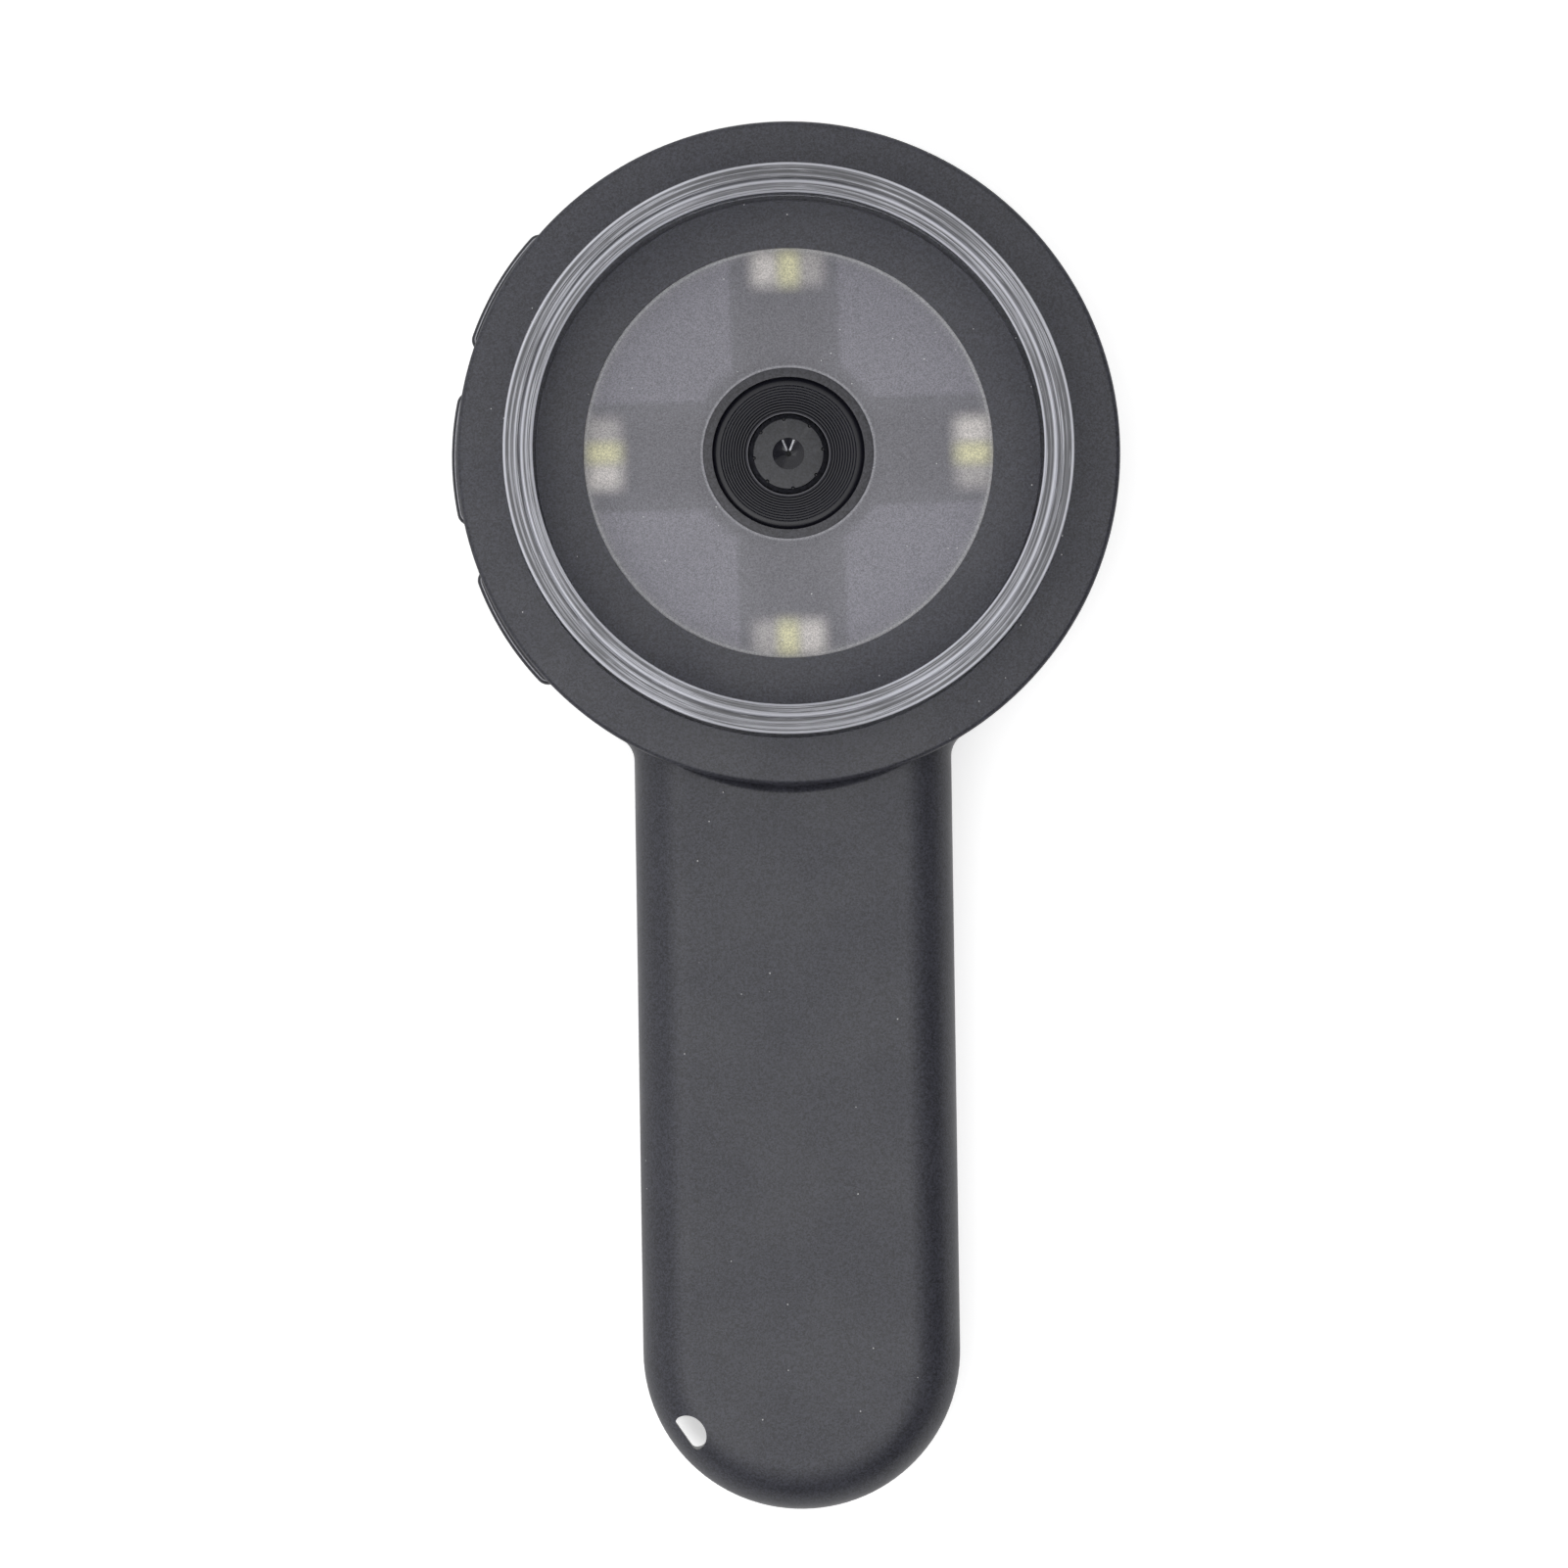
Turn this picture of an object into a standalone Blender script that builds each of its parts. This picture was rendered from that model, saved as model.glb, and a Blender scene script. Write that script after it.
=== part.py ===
"""Handheld digital magnifier: round camera head with a clear stand-off ring, a rear screen and a flat handle.

The object lies on its back. The lens axis is +Z through the origin, the rear screen lies in the plane z = 0,
the handle runs along -Y and the three side keys are on -X. All sizes are in metres.
"""

import math

import bmesh
import bpy
from mathutils import Matrix, Vector

# Case, outside
HEAD_RADIUS = 0.0350
HEAD_HEIGHT = 0.0200
HEAD_EDGE = 0.0004
HANDLE_HALF_WIDTH = 0.0169
HANDLE_LENGTH = 0.0603
HANDLE_HEIGHT = 0.0165
HANDLE_SIDE_LAND = 0.0025
NECK_FILLET = 0.0027
BACK_ROUND = 0.0035

# Case, inside
CASE_WALL = 0.0018
REAR_WALL = 0.0022
FACE_WALL = 0.0026
RABBET_DEPTH = 0.0014
GAP = 0.0003
FINE_GAP = 0.0001
CUT_OVERRUN = 0.0010
JOIN_DEPTH = 0.0005

# Clear ring and the bezel that it surrounds
RING_MARGIN = 0.0053
RING_WIDTH = 0.0028
RING_PROUD = 0.0100
RING_GROOVE_DEPTH = 0.0014
RING_CHAMFER = 0.0004
BEZEL_LAND = 0.00533
BEZEL_LIP = 0.0009
BEZEL_CHAMFER = 0.0003

# Diffuser, tray and lamp board
DIFFUSER_LAP = 0.00113
DIFFUSER_HOLE = 0.0090
DIFFUSER_THICKNESS = 0.0012
TRAY_WALL = 0.0008
TRAY_FLOOR = 0.0008
BOARD_THICKNESS = 0.0008
LAMP_TO_DIFFUSER = 0.0011
ARM_WIDTH = 0.0114
HUB_WIDTH = 0.0014
LED_INSET = 0.0032
LED_LENGTH = 0.0057
LED_WIDTH = 0.0030
LED_HEIGHT = 0.0008
LED_END = 0.00135
LED_RIM = 0.0004
PHOSPHOR_DEPTH = 0.0003

# Lens funnel
COLLAR_WALL = 0.00065
COLLAR_CHAMFER = 0.00015
DISH_SLOPE = 0.0007
DISH_DROP = 0.0005
RIDGE_COUNT = 10
RIDGE_DROP = 0.00013
THROAT_GAP = 0.00064
THROAT_LAND = 0.00026
FUNNEL_PLATE = 0.0010
FUNNEL_WALL = 0.0012
FUNNEL_SHOULDER = 0.0016
SHOULDER_THICKNESS = 0.0012

# Camera
BARREL_RADIUS = 0.0036
BARREL_WALL = 0.0009
BARREL_RECESS = 0.0007
BARREL_FACE = 0.0010
EYE_RADIUS = 0.00165
EYE_DEPTH = 0.0007
PINHOLE_RADIUS = 0.00045
NOTCH_COUNT = 8
NOTCH_RADIUS = 0.00022
NOTCH_DEPTH = 0.0003
LENS_THICKNESS = 0.0015
LENS_CROWN = 0.00045
SPACER_WALL = 0.0006
REAR_LENS_THICKNESS = 0.0012
HOLDER_CLEARANCE = 0.00043
HOLDER_BASE = 0.0040
TOWER_WALL = 0.0012
HOLDER_ROOM = 0.0016
FILTER_INSET = 0.0003
FILTER_THICKNESS = 0.0003
FILTER_LEDGE = 0.0006
SENSOR_WIDTH = 0.0062
SENSOR_HEIGHT = 0.0010
SEAT_THICKNESS = 0.0006

# Rear screen
WINDOW_MARGIN = 0.0060
WINDOW_THICKNESS = 0.0009
WINDOW_EDGE = 0.0002
VIEW_SIDE_BORDER = 0.0025
VIEW_END_BORDER = 0.0010
VIEW_CORNER = 0.0010
SCREEN_ANGLE = math.radians(36.6)
SCREEN_MARGIN = 0.0018
LCD_THICKNESS = 0.0019
LCD_GLASS = 0.0012
LCD_GLASS_INSET = 0.0009
GASKET_THICKNESS = 0.0005
GASKET_WIDTH = 0.0016
FRAME_WALL = 0.0014
FLEX_WIDTH = 0.0140
FLEX_THICKNESS = 0.00015
FLEX_LOOP = 0.0034
FLEX_BEND = 0.0012
FLEX_TAIL = 0.0006
FLEX_CLEARANCE = 0.0006
CONNECTOR_DEPTH = 0.0032
CONNECTOR_HEIGHT = 0.0012

# Main board and what stands on it
PCB_MARGIN = 0.0027
PCB_THICKNESS = 0.0010
POST_INSET = 0.0035
POST_TO_CARD = 0.0016
POST_RADIUS = 0.0022
POST_PILOT = 0.0011
POST_PILOT_DEPTH = 0.0050
BOARD_SCREW_SHANK = 0.0008
BOARD_SCREW_LENGTH = 0.0045
BOARD_SCREW_HEAD = 0.0016
BOARD_SCREW_HEAD_HEIGHT = 0.0009
SCREW_DRIVE_DEPTH = 0.0005
SCREW_DRIVE_WIDTH = 0.0004
SCREW_TIP_SHARE = 0.66
SCREW_CROWN_SHARE = 0.33
PROCESSOR_WIDTH = 0.0080
PROCESSOR_HEIGHT = 0.0010
PROCESSOR_MARGIN = 0.0022
MEMORY_LENGTH = 0.0060
MEMORY_WIDTH = 0.0050
MEMORY_HEIGHT = 0.0016
MEMORY_MARGIN = 0.0058
CRYSTAL_LENGTH = 0.0032
CRYSTAL_WIDTH = 0.0025
CRYSTAL_HEIGHT = 0.0008
CRYSTAL_OFFSET = 0.0028
CHIP_EDGE = 0.00015

# Side keys and their switches
KEY_SEPARATION = 0.00236
KEY_CHORD = 0.0137
KEY_HEIGHT = 0.0044
KEY_PROUD = 0.00095
KEY_EDGE = 0.0004
KEY_TRAVEL = 0.0003
KEY_FLANGE = 0.0009
KEY_FLANGE_THICKNESS = 0.0009
KEY_NUB = 0.0008
KEY_NUB_WIDTH = 0.0020
SWITCH_DEPTH = 0.0035
SWITCH_WIDTH = 0.0060
SWITCH_HEIGHT = 0.0034
PLUNGER_RADIUS = 0.0008
PLUNGER_PROUD = 0.0008
PLUNGER_DEPTH = 0.0014

# Sockets in the rim
USB_WIDTH = 0.0089
USB_HEIGHT = 0.0032
USB_DEPTH = 0.0073
USB_SHELL = 0.0003
USB_POCKET = 0.0058
USB_TONGUE_WIDTH = 0.0066
USB_TONGUE_HEIGHT = 0.0007
USB_TONGUE_LENGTH = 0.0048
USB_SETBACK = 0.0008
CARD_ANGLE = math.radians(-31.5)
CARD_WIDTH = 0.0140
CARD_DEPTH = 0.0140
CARD_HEIGHT = 0.0016
CARD_SHELL = 0.0003
CARD_POCKET = 0.0120
CARD_SETBACK = 0.0010

# Battery and leads
BATTERY_SIDE_ROOM = 0.0026
BATTERY_HEAD_ROOM = 0.0080
BATTERY_END_ROOM = 0.0023
BATTERY_ROUND = 0.0016
PAD_THICKNESS = 0.0008
PAD_MARGIN = 0.0020
RIB_THICKNESS = 0.0012
RIB_HEIGHT = 0.0033
RIB_INSET_SHARE = 0.24
HEADER_WIDTH = 0.0060
HEADER_DEPTH = 0.0044
HEADER_HEIGHT = 0.0034
HEADER_WALL = 0.0005
HEADER_MARGIN = 0.0024
PLUG_LENGTH = 0.0052
BATTERY_LEAD_RADIUS = 0.0006
BATTERY_LEAD_SPACING = 0.0020
BATTERY_TAB_SPACING = 0.0060
LED_LEAD_RADIUS = 0.0005
LED_LEAD_SPACING = 0.0030
LED_LEAD_MARGIN = 0.0027
LED_LEAD_BOW = 0.0010
LEAD_POINTS = 7

# Case screws and the lanyard hole
NECK_POST_INSET = 0.0046
NECK_POST_DROP = 0.0022
END_POST_X = 0.0040
END_POST_DROP = 0.0057
CASE_POST_RADIUS = 0.0025
CASE_BOSS_RADIUS = 0.00295
CASE_PILOT = 0.0013
CASE_PILOT_DEPTH = 0.0055
CASE_SHANK = 0.0010
CASE_SCREW_LENGTH = 0.0080
CASE_SCREW_HEAD = 0.0018
CASE_SCREW_HEAD_HEIGHT = 0.0013
CASE_COUNTERBORE_DEPTH = 0.0030
CASE_DRIVE_DEPTH = 0.0007
CASE_DRIVE_WIDTH = 0.0005
LANYARD_ANGLE = math.radians(214.4)
LANYARD_INSET = 0.0029
LANYARD_LENGTH = 0.0039
LANYARD_WIDTH = 0.0022
LANYARD_WALL = 0.0012
LANYARD_DRAFT = 0.0010

# Facet counts
HEAD_STEPS = 52
SMALL_STEPS = 24
PIN_STEPS = 10
NOTCH_STEPS = 8
ARC_STEPS = 16
FILLET_STEPS = 4
ROUND_SEGMENTS = 3
FINE_SEGMENTS = 2

# Merge distance of every modifier and operator that welds points, and how far off a picked edge may lie
WELD = 0.000001
PICK_SLACK = 0.00001

# Turns between neighbouring faces: still flat, still one smooth surface, and a real edge
FLAT_TURN = math.radians(0.05)
SMOOTH_TURN = math.radians(35.0)
EDGE_TURN = math.radians(50.0)

# Levels along the lens axis, from the rear screen to the diffuser
GASKET_Z = REAR_WALL + GAP
LCD_Z = GASKET_Z + GASKET_THICKNESS + GAP
PCB_Z = LCD_Z + LCD_THICKNESS + GAP
PCB_TOP = PCB_Z + PCB_THICKNESS
SEAT_Z = PCB_TOP + GAP
KEY_Z = SEAT_Z + SWITCH_HEIGHT / 2
PARTING = KEY_Z
CEILING = HEAD_HEIGHT - FACE_WALL
HANDLE_CEILING = HANDLE_HEIGHT - CASE_WALL
HANDLE_FRONT_ROUND = HANDLE_HEIGHT - PARTING - HANDLE_SIDE_LAND
RIB_BOTTOM = HANDLE_CEILING - RIB_HEIGHT
DIFFUSER_TOP = HEAD_HEIGHT - BEZEL_LIP - GAP
DIFFUSER_Z = DIFFUSER_TOP - DIFFUSER_THICKNESS
LED_Z = DIFFUSER_Z - LAMP_TO_DIFFUSER - LED_HEIGHT
LAMP_BOARD_Z = LED_Z - GAP - BOARD_THICKNESS
TRAY_Z = LAMP_BOARD_Z - GAP - TRAY_FLOOR
SHOULDER_TOP = TRAY_Z - GAP
DISH_FLOOR = DIFFUSER_TOP - DISH_DROP - RIDGE_COUNT * RIDGE_DROP
PLATE_LOW = DISH_FLOOR - FUNNEL_PLATE
HOLDER_TOP = PLATE_LOW - HOLDER_ROOM
BARREL_TOP = DIFFUSER_TOP - BARREL_RECESS
SENSOR_TOP = SEAT_Z + SENSOR_HEIGHT
FILTER_Z = SENSOR_TOP + GAP
HOLDER_SEAT_Z = FILTER_Z + FILTER_THICKNESS + GAP
BARREL_Z = HOLDER_SEAT_Z + SEAT_THICKNESS + GAP
REAR_LENS_Z = BARREL_Z + GAP
SPACER_Z = REAR_LENS_Z + REAR_LENS_THICKNESS + GAP
LENS_Z = BARREL_TOP - BARREL_FACE - GAP - LENS_THICKNESS
WINDOW_RECESS = WINDOW_THICKNESS + GAP
BATTERY_Z = REAR_WALL + GAP + PAD_THICKNESS + GAP
BATTERY_TOP = RIB_BOTTOM - GAP

# Radii and plan sizes that follow the case
HEAD_INSIDE = HEAD_RADIUS - CASE_WALL
RABBET_INSET = CASE_WALL / 2
HANDLE_REACH = HEAD_RADIUS + HANDLE_LENGTH
LANYARD_CENTRE_RADIUS = HANDLE_HALF_WIDTH - LANYARD_INSET
NECK_POST_X = HANDLE_HALF_WIDTH - CASE_WALL - NECK_POST_INSET
NECK_POST_Y = -(HEAD_RADIUS + NECK_POST_DROP)
END_POST_Y = -(HANDLE_REACH + END_POST_DROP)
BATTERY_WIDTH = 2 * (HANDLE_HALF_WIDTH - CASE_WALL - BATTERY_SIDE_ROOM)
BATTERY_TOP_Y = -(HEAD_RADIUS + BATTERY_HEAD_ROOM)
BATTERY_LENGTH = HANDLE_REACH - BATTERY_END_ROOM + BATTERY_TOP_Y

# Radii of the ring, the bezel, the light and the funnel, from the case inwards
RING_OUTER = HEAD_RADIUS - RING_MARGIN
RING_INNER = RING_OUTER - RING_WIDTH
BEZEL_RADIUS = RING_INNER - BEZEL_LAND
DIFFUSER_RADIUS = BEZEL_RADIUS + DIFFUSER_LAP
ARM_REACH = DIFFUSER_RADIUS - TRAY_WALL - GAP
LED_RADIUS = DIFFUSER_RADIUS - LED_INSET
HUB_RADIUS = DIFFUSER_HOLE + HUB_WIDTH
COLLAR_RADIUS = DIFFUSER_HOLE - GAP
COLLAR_INNER = COLLAR_RADIUS - COLLAR_WALL
SKIRT_INNER = COLLAR_RADIUS - FUNNEL_WALL
SHOULDER_RADIUS = COLLAR_RADIUS + FUNNEL_SHOULDER
DISH_RADIUS = COLLAR_INNER - DISH_SLOPE
FUNNEL_THROAT = BARREL_RADIUS + THROAT_GAP
RIDGE_PITCH = (DISH_RADIUS - FUNNEL_THROAT - THROAT_LAND) / RIDGE_COUNT

# Camera parts inside the funnel
BARREL_BORE = BARREL_RADIUS - BARREL_WALL
LENS_RADIUS = BARREL_BORE - GAP
HOLDER_WIDTH = math.sqrt(2) * (SKIRT_INNER - HOLDER_CLEARANCE)
HOLDER_BORE = BARREL_RADIUS + GAP
HOLDER_TOWER = HOLDER_BORE + TOWER_WALL
FILTER_WIDTH = SENSOR_WIDTH - 2 * FILTER_INSET
FILTER_WINDOW = FILTER_WIDTH - 2 * FILTER_LEDGE
PHOSPHOR_LENGTH = LED_LENGTH - 2 * LED_END
PHOSPHOR_WIDTH = LED_WIDTH - 2 * LED_RIM

# Rear screen, which fits the round case with its frame's corners
WINDOW_RADIUS = HEAD_RADIUS - WINDOW_MARGIN
FRAME_WIDTH = 2 * (HEAD_INSIDE - SCREEN_MARGIN) * math.cos(SCREEN_ANGLE)
FRAME_HEIGHT = 2 * (HEAD_INSIDE - SCREEN_MARGIN) * math.sin(SCREEN_ANGLE)
LCD_WIDTH = FRAME_WIDTH - 2 * (FRAME_WALL + GAP)
LCD_HEIGHT = FRAME_HEIGHT - 2 * (FRAME_WALL + GAP)
VIEW_WIDTH = LCD_WIDTH - 2 * VIEW_SIDE_BORDER
VIEW_HEIGHT = LCD_HEIGHT - 2 * VIEW_END_BORDER
FLEX_RISE_Y = -(LCD_HEIGHT / 2 + FLEX_LOOP)

# Places on the main board
PCB_RADIUS = HEAD_INSIDE - PCB_MARGIN
POST_CIRCLE = PCB_RADIUS - POST_INSET
POST_ANGLE = math.asin((CARD_WIDTH / 2 + POST_TO_CARD + POST_RADIUS) / POST_CIRCLE) - CARD_ANGLE
PROCESSOR_X = -(COLLAR_RADIUS + PROCESSOR_MARGIN + PROCESSOR_WIDTH / 2)
MEMORY_Y = COLLAR_RADIUS + MEMORY_MARGIN + MEMORY_WIDTH / 2
CRYSTAL_X = -(COLLAR_RADIUS + CRYSTAL_OFFSET)
CRYSTAL_Y = COLLAR_RADIUS + CRYSTAL_OFFSET
HEADER_Y = FLEX_RISE_Y - HEADER_MARGIN - HEADER_DEPTH / 2
LED_LEAD_X = SHOULDER_RADIUS + LED_LEAD_MARGIN

# Radii of the key and switch stack, from the wall inwards
KEY_OUTER = HEAD_RADIUS + KEY_PROUD
FLANGE_OUTER = HEAD_INSIDE - GAP
FLANGE_INNER = FLANGE_OUTER - KEY_FLANGE_THICKNESS
NUB_INNER = FLANGE_INNER - KEY_NUB
PLUNGER_TIP = NUB_INNER - FINE_GAP
SWITCH_OUTER = PLUNGER_TIP - PLUNGER_PROUD
SWITCH_INNER = SWITCH_OUTER - SWITCH_DEPTH
KEY_SPACING = 2 * math.asin((KEY_CHORD / 2 + KEY_FLANGE + KEY_SEPARATION / 2) / FLANGE_OUTER)

KEY_NAMES = ("upper", "middle", "lower")
LED_NAMES = ("top", "left", "bottom", "right")


def clear_scene():
    """Removes every object that the scene starts with."""
    for old in list(bpy.data.objects):
        bpy.data.objects.remove(old, do_unlink=True)


def make_collection(name):
    """A collection under the scene."""
    collection = bpy.data.collections.new(name)
    bpy.context.scene.collection.children.link(collection)
    return collection


def make_material(name, colour, roughness, metallic=0.0, transmission=0.0):
    """A Principled material with one colour."""
    material = bpy.data.materials.new(name)
    material.use_nodes = True
    material.diffuse_color = (*colour, 1.0)
    shader = material.node_tree.nodes["Principled BSDF"]
    shader.inputs["Base Color"].default_value = (*colour, 1.0)
    shader.inputs["Roughness"].default_value = roughness
    shader.inputs["Metallic"].default_value = metallic
    shader.inputs["Transmission Weight"].default_value = transmission
    return material


def add_object(name, mesh, collection, material=None):
    """Links a mesh as an object."""
    piece = bpy.data.objects.new(name, mesh)
    collection.objects.link(piece)
    if material is not None:
        mesh.materials.clear()
        mesh.materials.append(material)
    return piece


def smooth(piece):
    """Shades round surfaces smooth and keeps real edges sharp."""
    piece.data.shade_smooth()
    piece.data.set_sharp_from_angle(angle=SMOOTH_TURN)


def arc(centre, radius, start, end, steps):
    """Points along an arc in the plan, both ends included."""
    points = []
    for step in range(steps + 1):
        angle = start + (end - start) * step / steps
        points.append((centre[0] + radius * math.cos(angle), centre[1] + radius * math.sin(angle)))
    return points


def rectangle(width, height, corner, centre=(0.0, 0.0), steps=3):
    """A rectangle with round corners, counter-clockwise."""
    points = []
    for turn in range(4):
        angle = turn * math.pi / 2
        sign_x = 1 if turn in (0, 3) else -1
        sign_y = 1 if turn in (0, 1) else -1
        middle = (centre[0] + sign_x * (width / 2 - corner), centre[1] + sign_y * (height / 2 - corner))
        points += arc(middle, corner, angle, angle + math.pi / 2, steps)
    return points


def neck_geometry():
    """Centre of the right neck fillet and the angle at which it meets the head."""
    x = HANDLE_HALF_WIDTH + NECK_FILLET
    y = -math.sqrt((HEAD_RADIUS + NECK_FILLET) ** 2 - x ** 2)
    return x, y, math.atan2(y, x)


def handle_side(inset):
    """Left neck fillet, the handle round its end, and the right neck fillet, counter-clockwise."""
    x, y, meet = neck_geometry()
    fillet = NECK_FILLET + inset
    end = HANDLE_HALF_WIDTH - inset
    left = arc((-x, y), fillet, -meet, 0.0, FILLET_STEPS)
    around = arc((0.0, -HANDLE_REACH), end, math.pi, 2 * math.pi, ARC_STEPS)
    right = arc((x, y), fillet, math.pi, math.pi + meet, FILLET_STEPS)
    return left + around + right


def housing_outline(inset):
    """Plan of the whole case, its walls moved inwards by inset."""
    meet = neck_geometry()[2]
    steps = round(HEAD_STEPS * (math.pi - 2 * meet) / (2 * math.pi))
    head = arc((0.0, 0.0), HEAD_RADIUS - inset, meet, math.pi - meet, steps)
    return head[1:-1] + handle_side(inset)


def handle_outline(inset):
    """Plan of the handle, closed inside the head."""
    x, y, meet = neck_geometry()
    inner = (HEAD_RADIUS - CASE_WALL) / 2
    root = arc((0.0, 0.0), inner, meet, math.pi - meet, 1)
    return root + handle_side(inset)


def move(mesh, offset=(0.0, 0.0, 0.0), turn=0.0):
    """Turns a mesh about Z and then moves it."""
    mesh.transform(Matrix.Translation(Vector(offset)) @ Matrix.Rotation(turn, 4, "Z"))


def prism_mesh(name, outlines, bottom, top):
    """A flat outline, with holes where it has more than one loop, made solid from bottom to top."""
    curve = bpy.data.curves.new(name, "CURVE")
    curve.dimensions = "2D"
    curve.fill_mode = "BOTH"
    curve.extrude = (top - bottom) / 2
    for outline in outlines:
        spline = curve.splines.new("POLY")
        spline.points.add(len(outline) - 1)
        for point, (x, y) in zip(spline.points, outline):
            point.co = (x, y, 0.0, 1.0)
        spline.use_cyclic_u = True
    return mesh_of_curve(name, curve, (0.0, 0.0, (bottom + top) / 2))


def mesh_of_curve(name, curve, offset=(0.0, 0.0, 0.0)):
    """The solid mesh of a curve, with its caps welded and flat faces in one piece."""
    holder = bpy.data.objects.new(name + "_curve", curve)
    bpy.context.scene.collection.objects.link(holder)
    holder.location = offset
    graph = bpy.context.evaluated_depsgraph_get()
    graph.update()
    mesh = bpy.data.meshes.new_from_object(holder.evaluated_get(graph))
    mesh.name = name
    mesh.transform(holder.matrix_world)
    bpy.data.objects.remove(holder, do_unlink=True)
    bm = bmesh.new()
    bm.from_mesh(mesh)
    bmesh.ops.remove_doubles(bm, verts=bm.verts, dist=WELD)
    bmesh.ops.recalc_face_normals(bm, faces=bm.faces)
    bm.to_mesh(mesh)
    bm.free()
    return mesh


def join_flat_faces(bm):
    """Takes out the edges between coplanar faces."""
    bmesh.ops.dissolve_limit(bm, angle_limit=FLAT_TURN, verts=bm.verts, edges=bm.edges)


def round_edges(mesh, chooses, radius, segments):
    """Rounds the edges of a mesh that the test chooses."""
    bm = bmesh.new()
    bm.from_mesh(mesh)
    join_flat_faces(bm)
    edges = [edge for edge in bm.edges if chooses(edge)]
    bmesh.ops.bevel(bm, geom=edges, offset=radius, offset_type="OFFSET", segments=segments, profile=0.5,
                    affect="EDGES", clamp_overlap=False, material=-1)
    bmesh.ops.recalc_face_normals(bm, faces=bm.faces)
    bm.to_mesh(mesh)
    bm.free()


def rim_edges(level):
    """A test for edges that lie in one level."""
    def chooses(edge):
        return all(abs(vert.co.z - level) < WELD for vert in edge.verts)
    return chooses


def outside_rim_edges(level, radius):
    """A test for edges in one level that lie outside a circle round the origin."""
    def chooses(edge):
        level_ok = all(abs(vert.co.z - level) < WELD for vert in edge.verts)
        return level_ok and all(math.hypot(vert.co.x, vert.co.y) > radius for vert in edge.verts)
    return chooses


def sharp_edges(edge):
    """A test for edges that turn by more than a smooth curve's facet does."""
    return edge.is_manifold and edge.calc_face_angle(0.0) > EDGE_TURN


def box_mesh(name, size, centre, turn=0.0, rounding=0.0, segments=FINE_SEGMENTS):
    """A box from the cube primitive, rounded if asked, turned about Z after it is moved."""
    mesh = bpy.data.meshes.new(name)
    bm = bmesh.new()
    bmesh.ops.create_cube(bm, size=1.0)
    bmesh.ops.scale(bm, vec=size, verts=bm.verts)
    if rounding > 0.0:
        bmesh.ops.bevel(bm, geom=bm.edges[:], offset=rounding, offset_type="OFFSET", segments=segments,
                        profile=0.5, affect="EDGES", clamp_overlap=True, material=-1)
    bmesh.ops.translate(bm, vec=centre, verts=bm.verts)
    bm.to_mesh(mesh)
    bm.free()
    mesh.transform(Matrix.Rotation(turn, 4, "Z"))
    return mesh


def rod_mesh(name, radius, bottom, top, centre=(0.0, 0.0), steps=PIN_STEPS):
    """An upright cylinder."""
    mesh = bpy.data.meshes.new(name)
    bm = bmesh.new()
    bmesh.ops.create_cone(bm, cap_ends=True, segments=steps, radius1=radius, radius2=radius,
                          depth=top - bottom)
    bmesh.ops.translate(bm, vec=(centre[0], centre[1], (bottom + top) / 2), verts=bm.verts)
    bm.to_mesh(mesh)
    bm.free()
    return mesh


def joined(name, meshes):
    """One mesh of several that don't touch each other."""
    whole = bpy.data.meshes.new(name)
    bm = bmesh.new()
    for mesh in meshes:
        bm.from_mesh(mesh)
    bm.to_mesh(whole)
    bm.free()
    return whole


def turned(name, profile, collection, material=None, steps=HEAD_STEPS, closed=True):
    """A profile in the XZ plane turned about the lens axis. It runs down the outer side, top to bottom."""
    mesh = bpy.data.meshes.new(name)
    bm = bmesh.new()
    verts = [bm.verts.new((x, 0.0, z)) for x, z in profile]
    for first, second in zip(verts, verts[1:]):
        bm.edges.new((first, second))
    if closed:
        bm.edges.new((verts[-1], verts[0]))
    bm.to_mesh(mesh)
    bm.free()
    piece = add_object(name, mesh, collection, material)
    screw = piece.modifiers.new("turn", "SCREW")
    screw.axis = "Z"
    screw.angle = 2 * math.pi
    screw.steps = steps
    screw.render_steps = steps
    screw.use_merge_vertices = True
    screw.merge_threshold = WELD
    screw.use_smooth_shade = True
    return piece


def cut(piece, cutter, operation="DIFFERENCE"):
    """Cuts one object from another, or joins it to it."""
    modifier = piece.modifiers.new(cutter.name, "BOOLEAN")
    modifier.operation = operation
    modifier.object = cutter
    modifier.solver = "EXACT"


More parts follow.
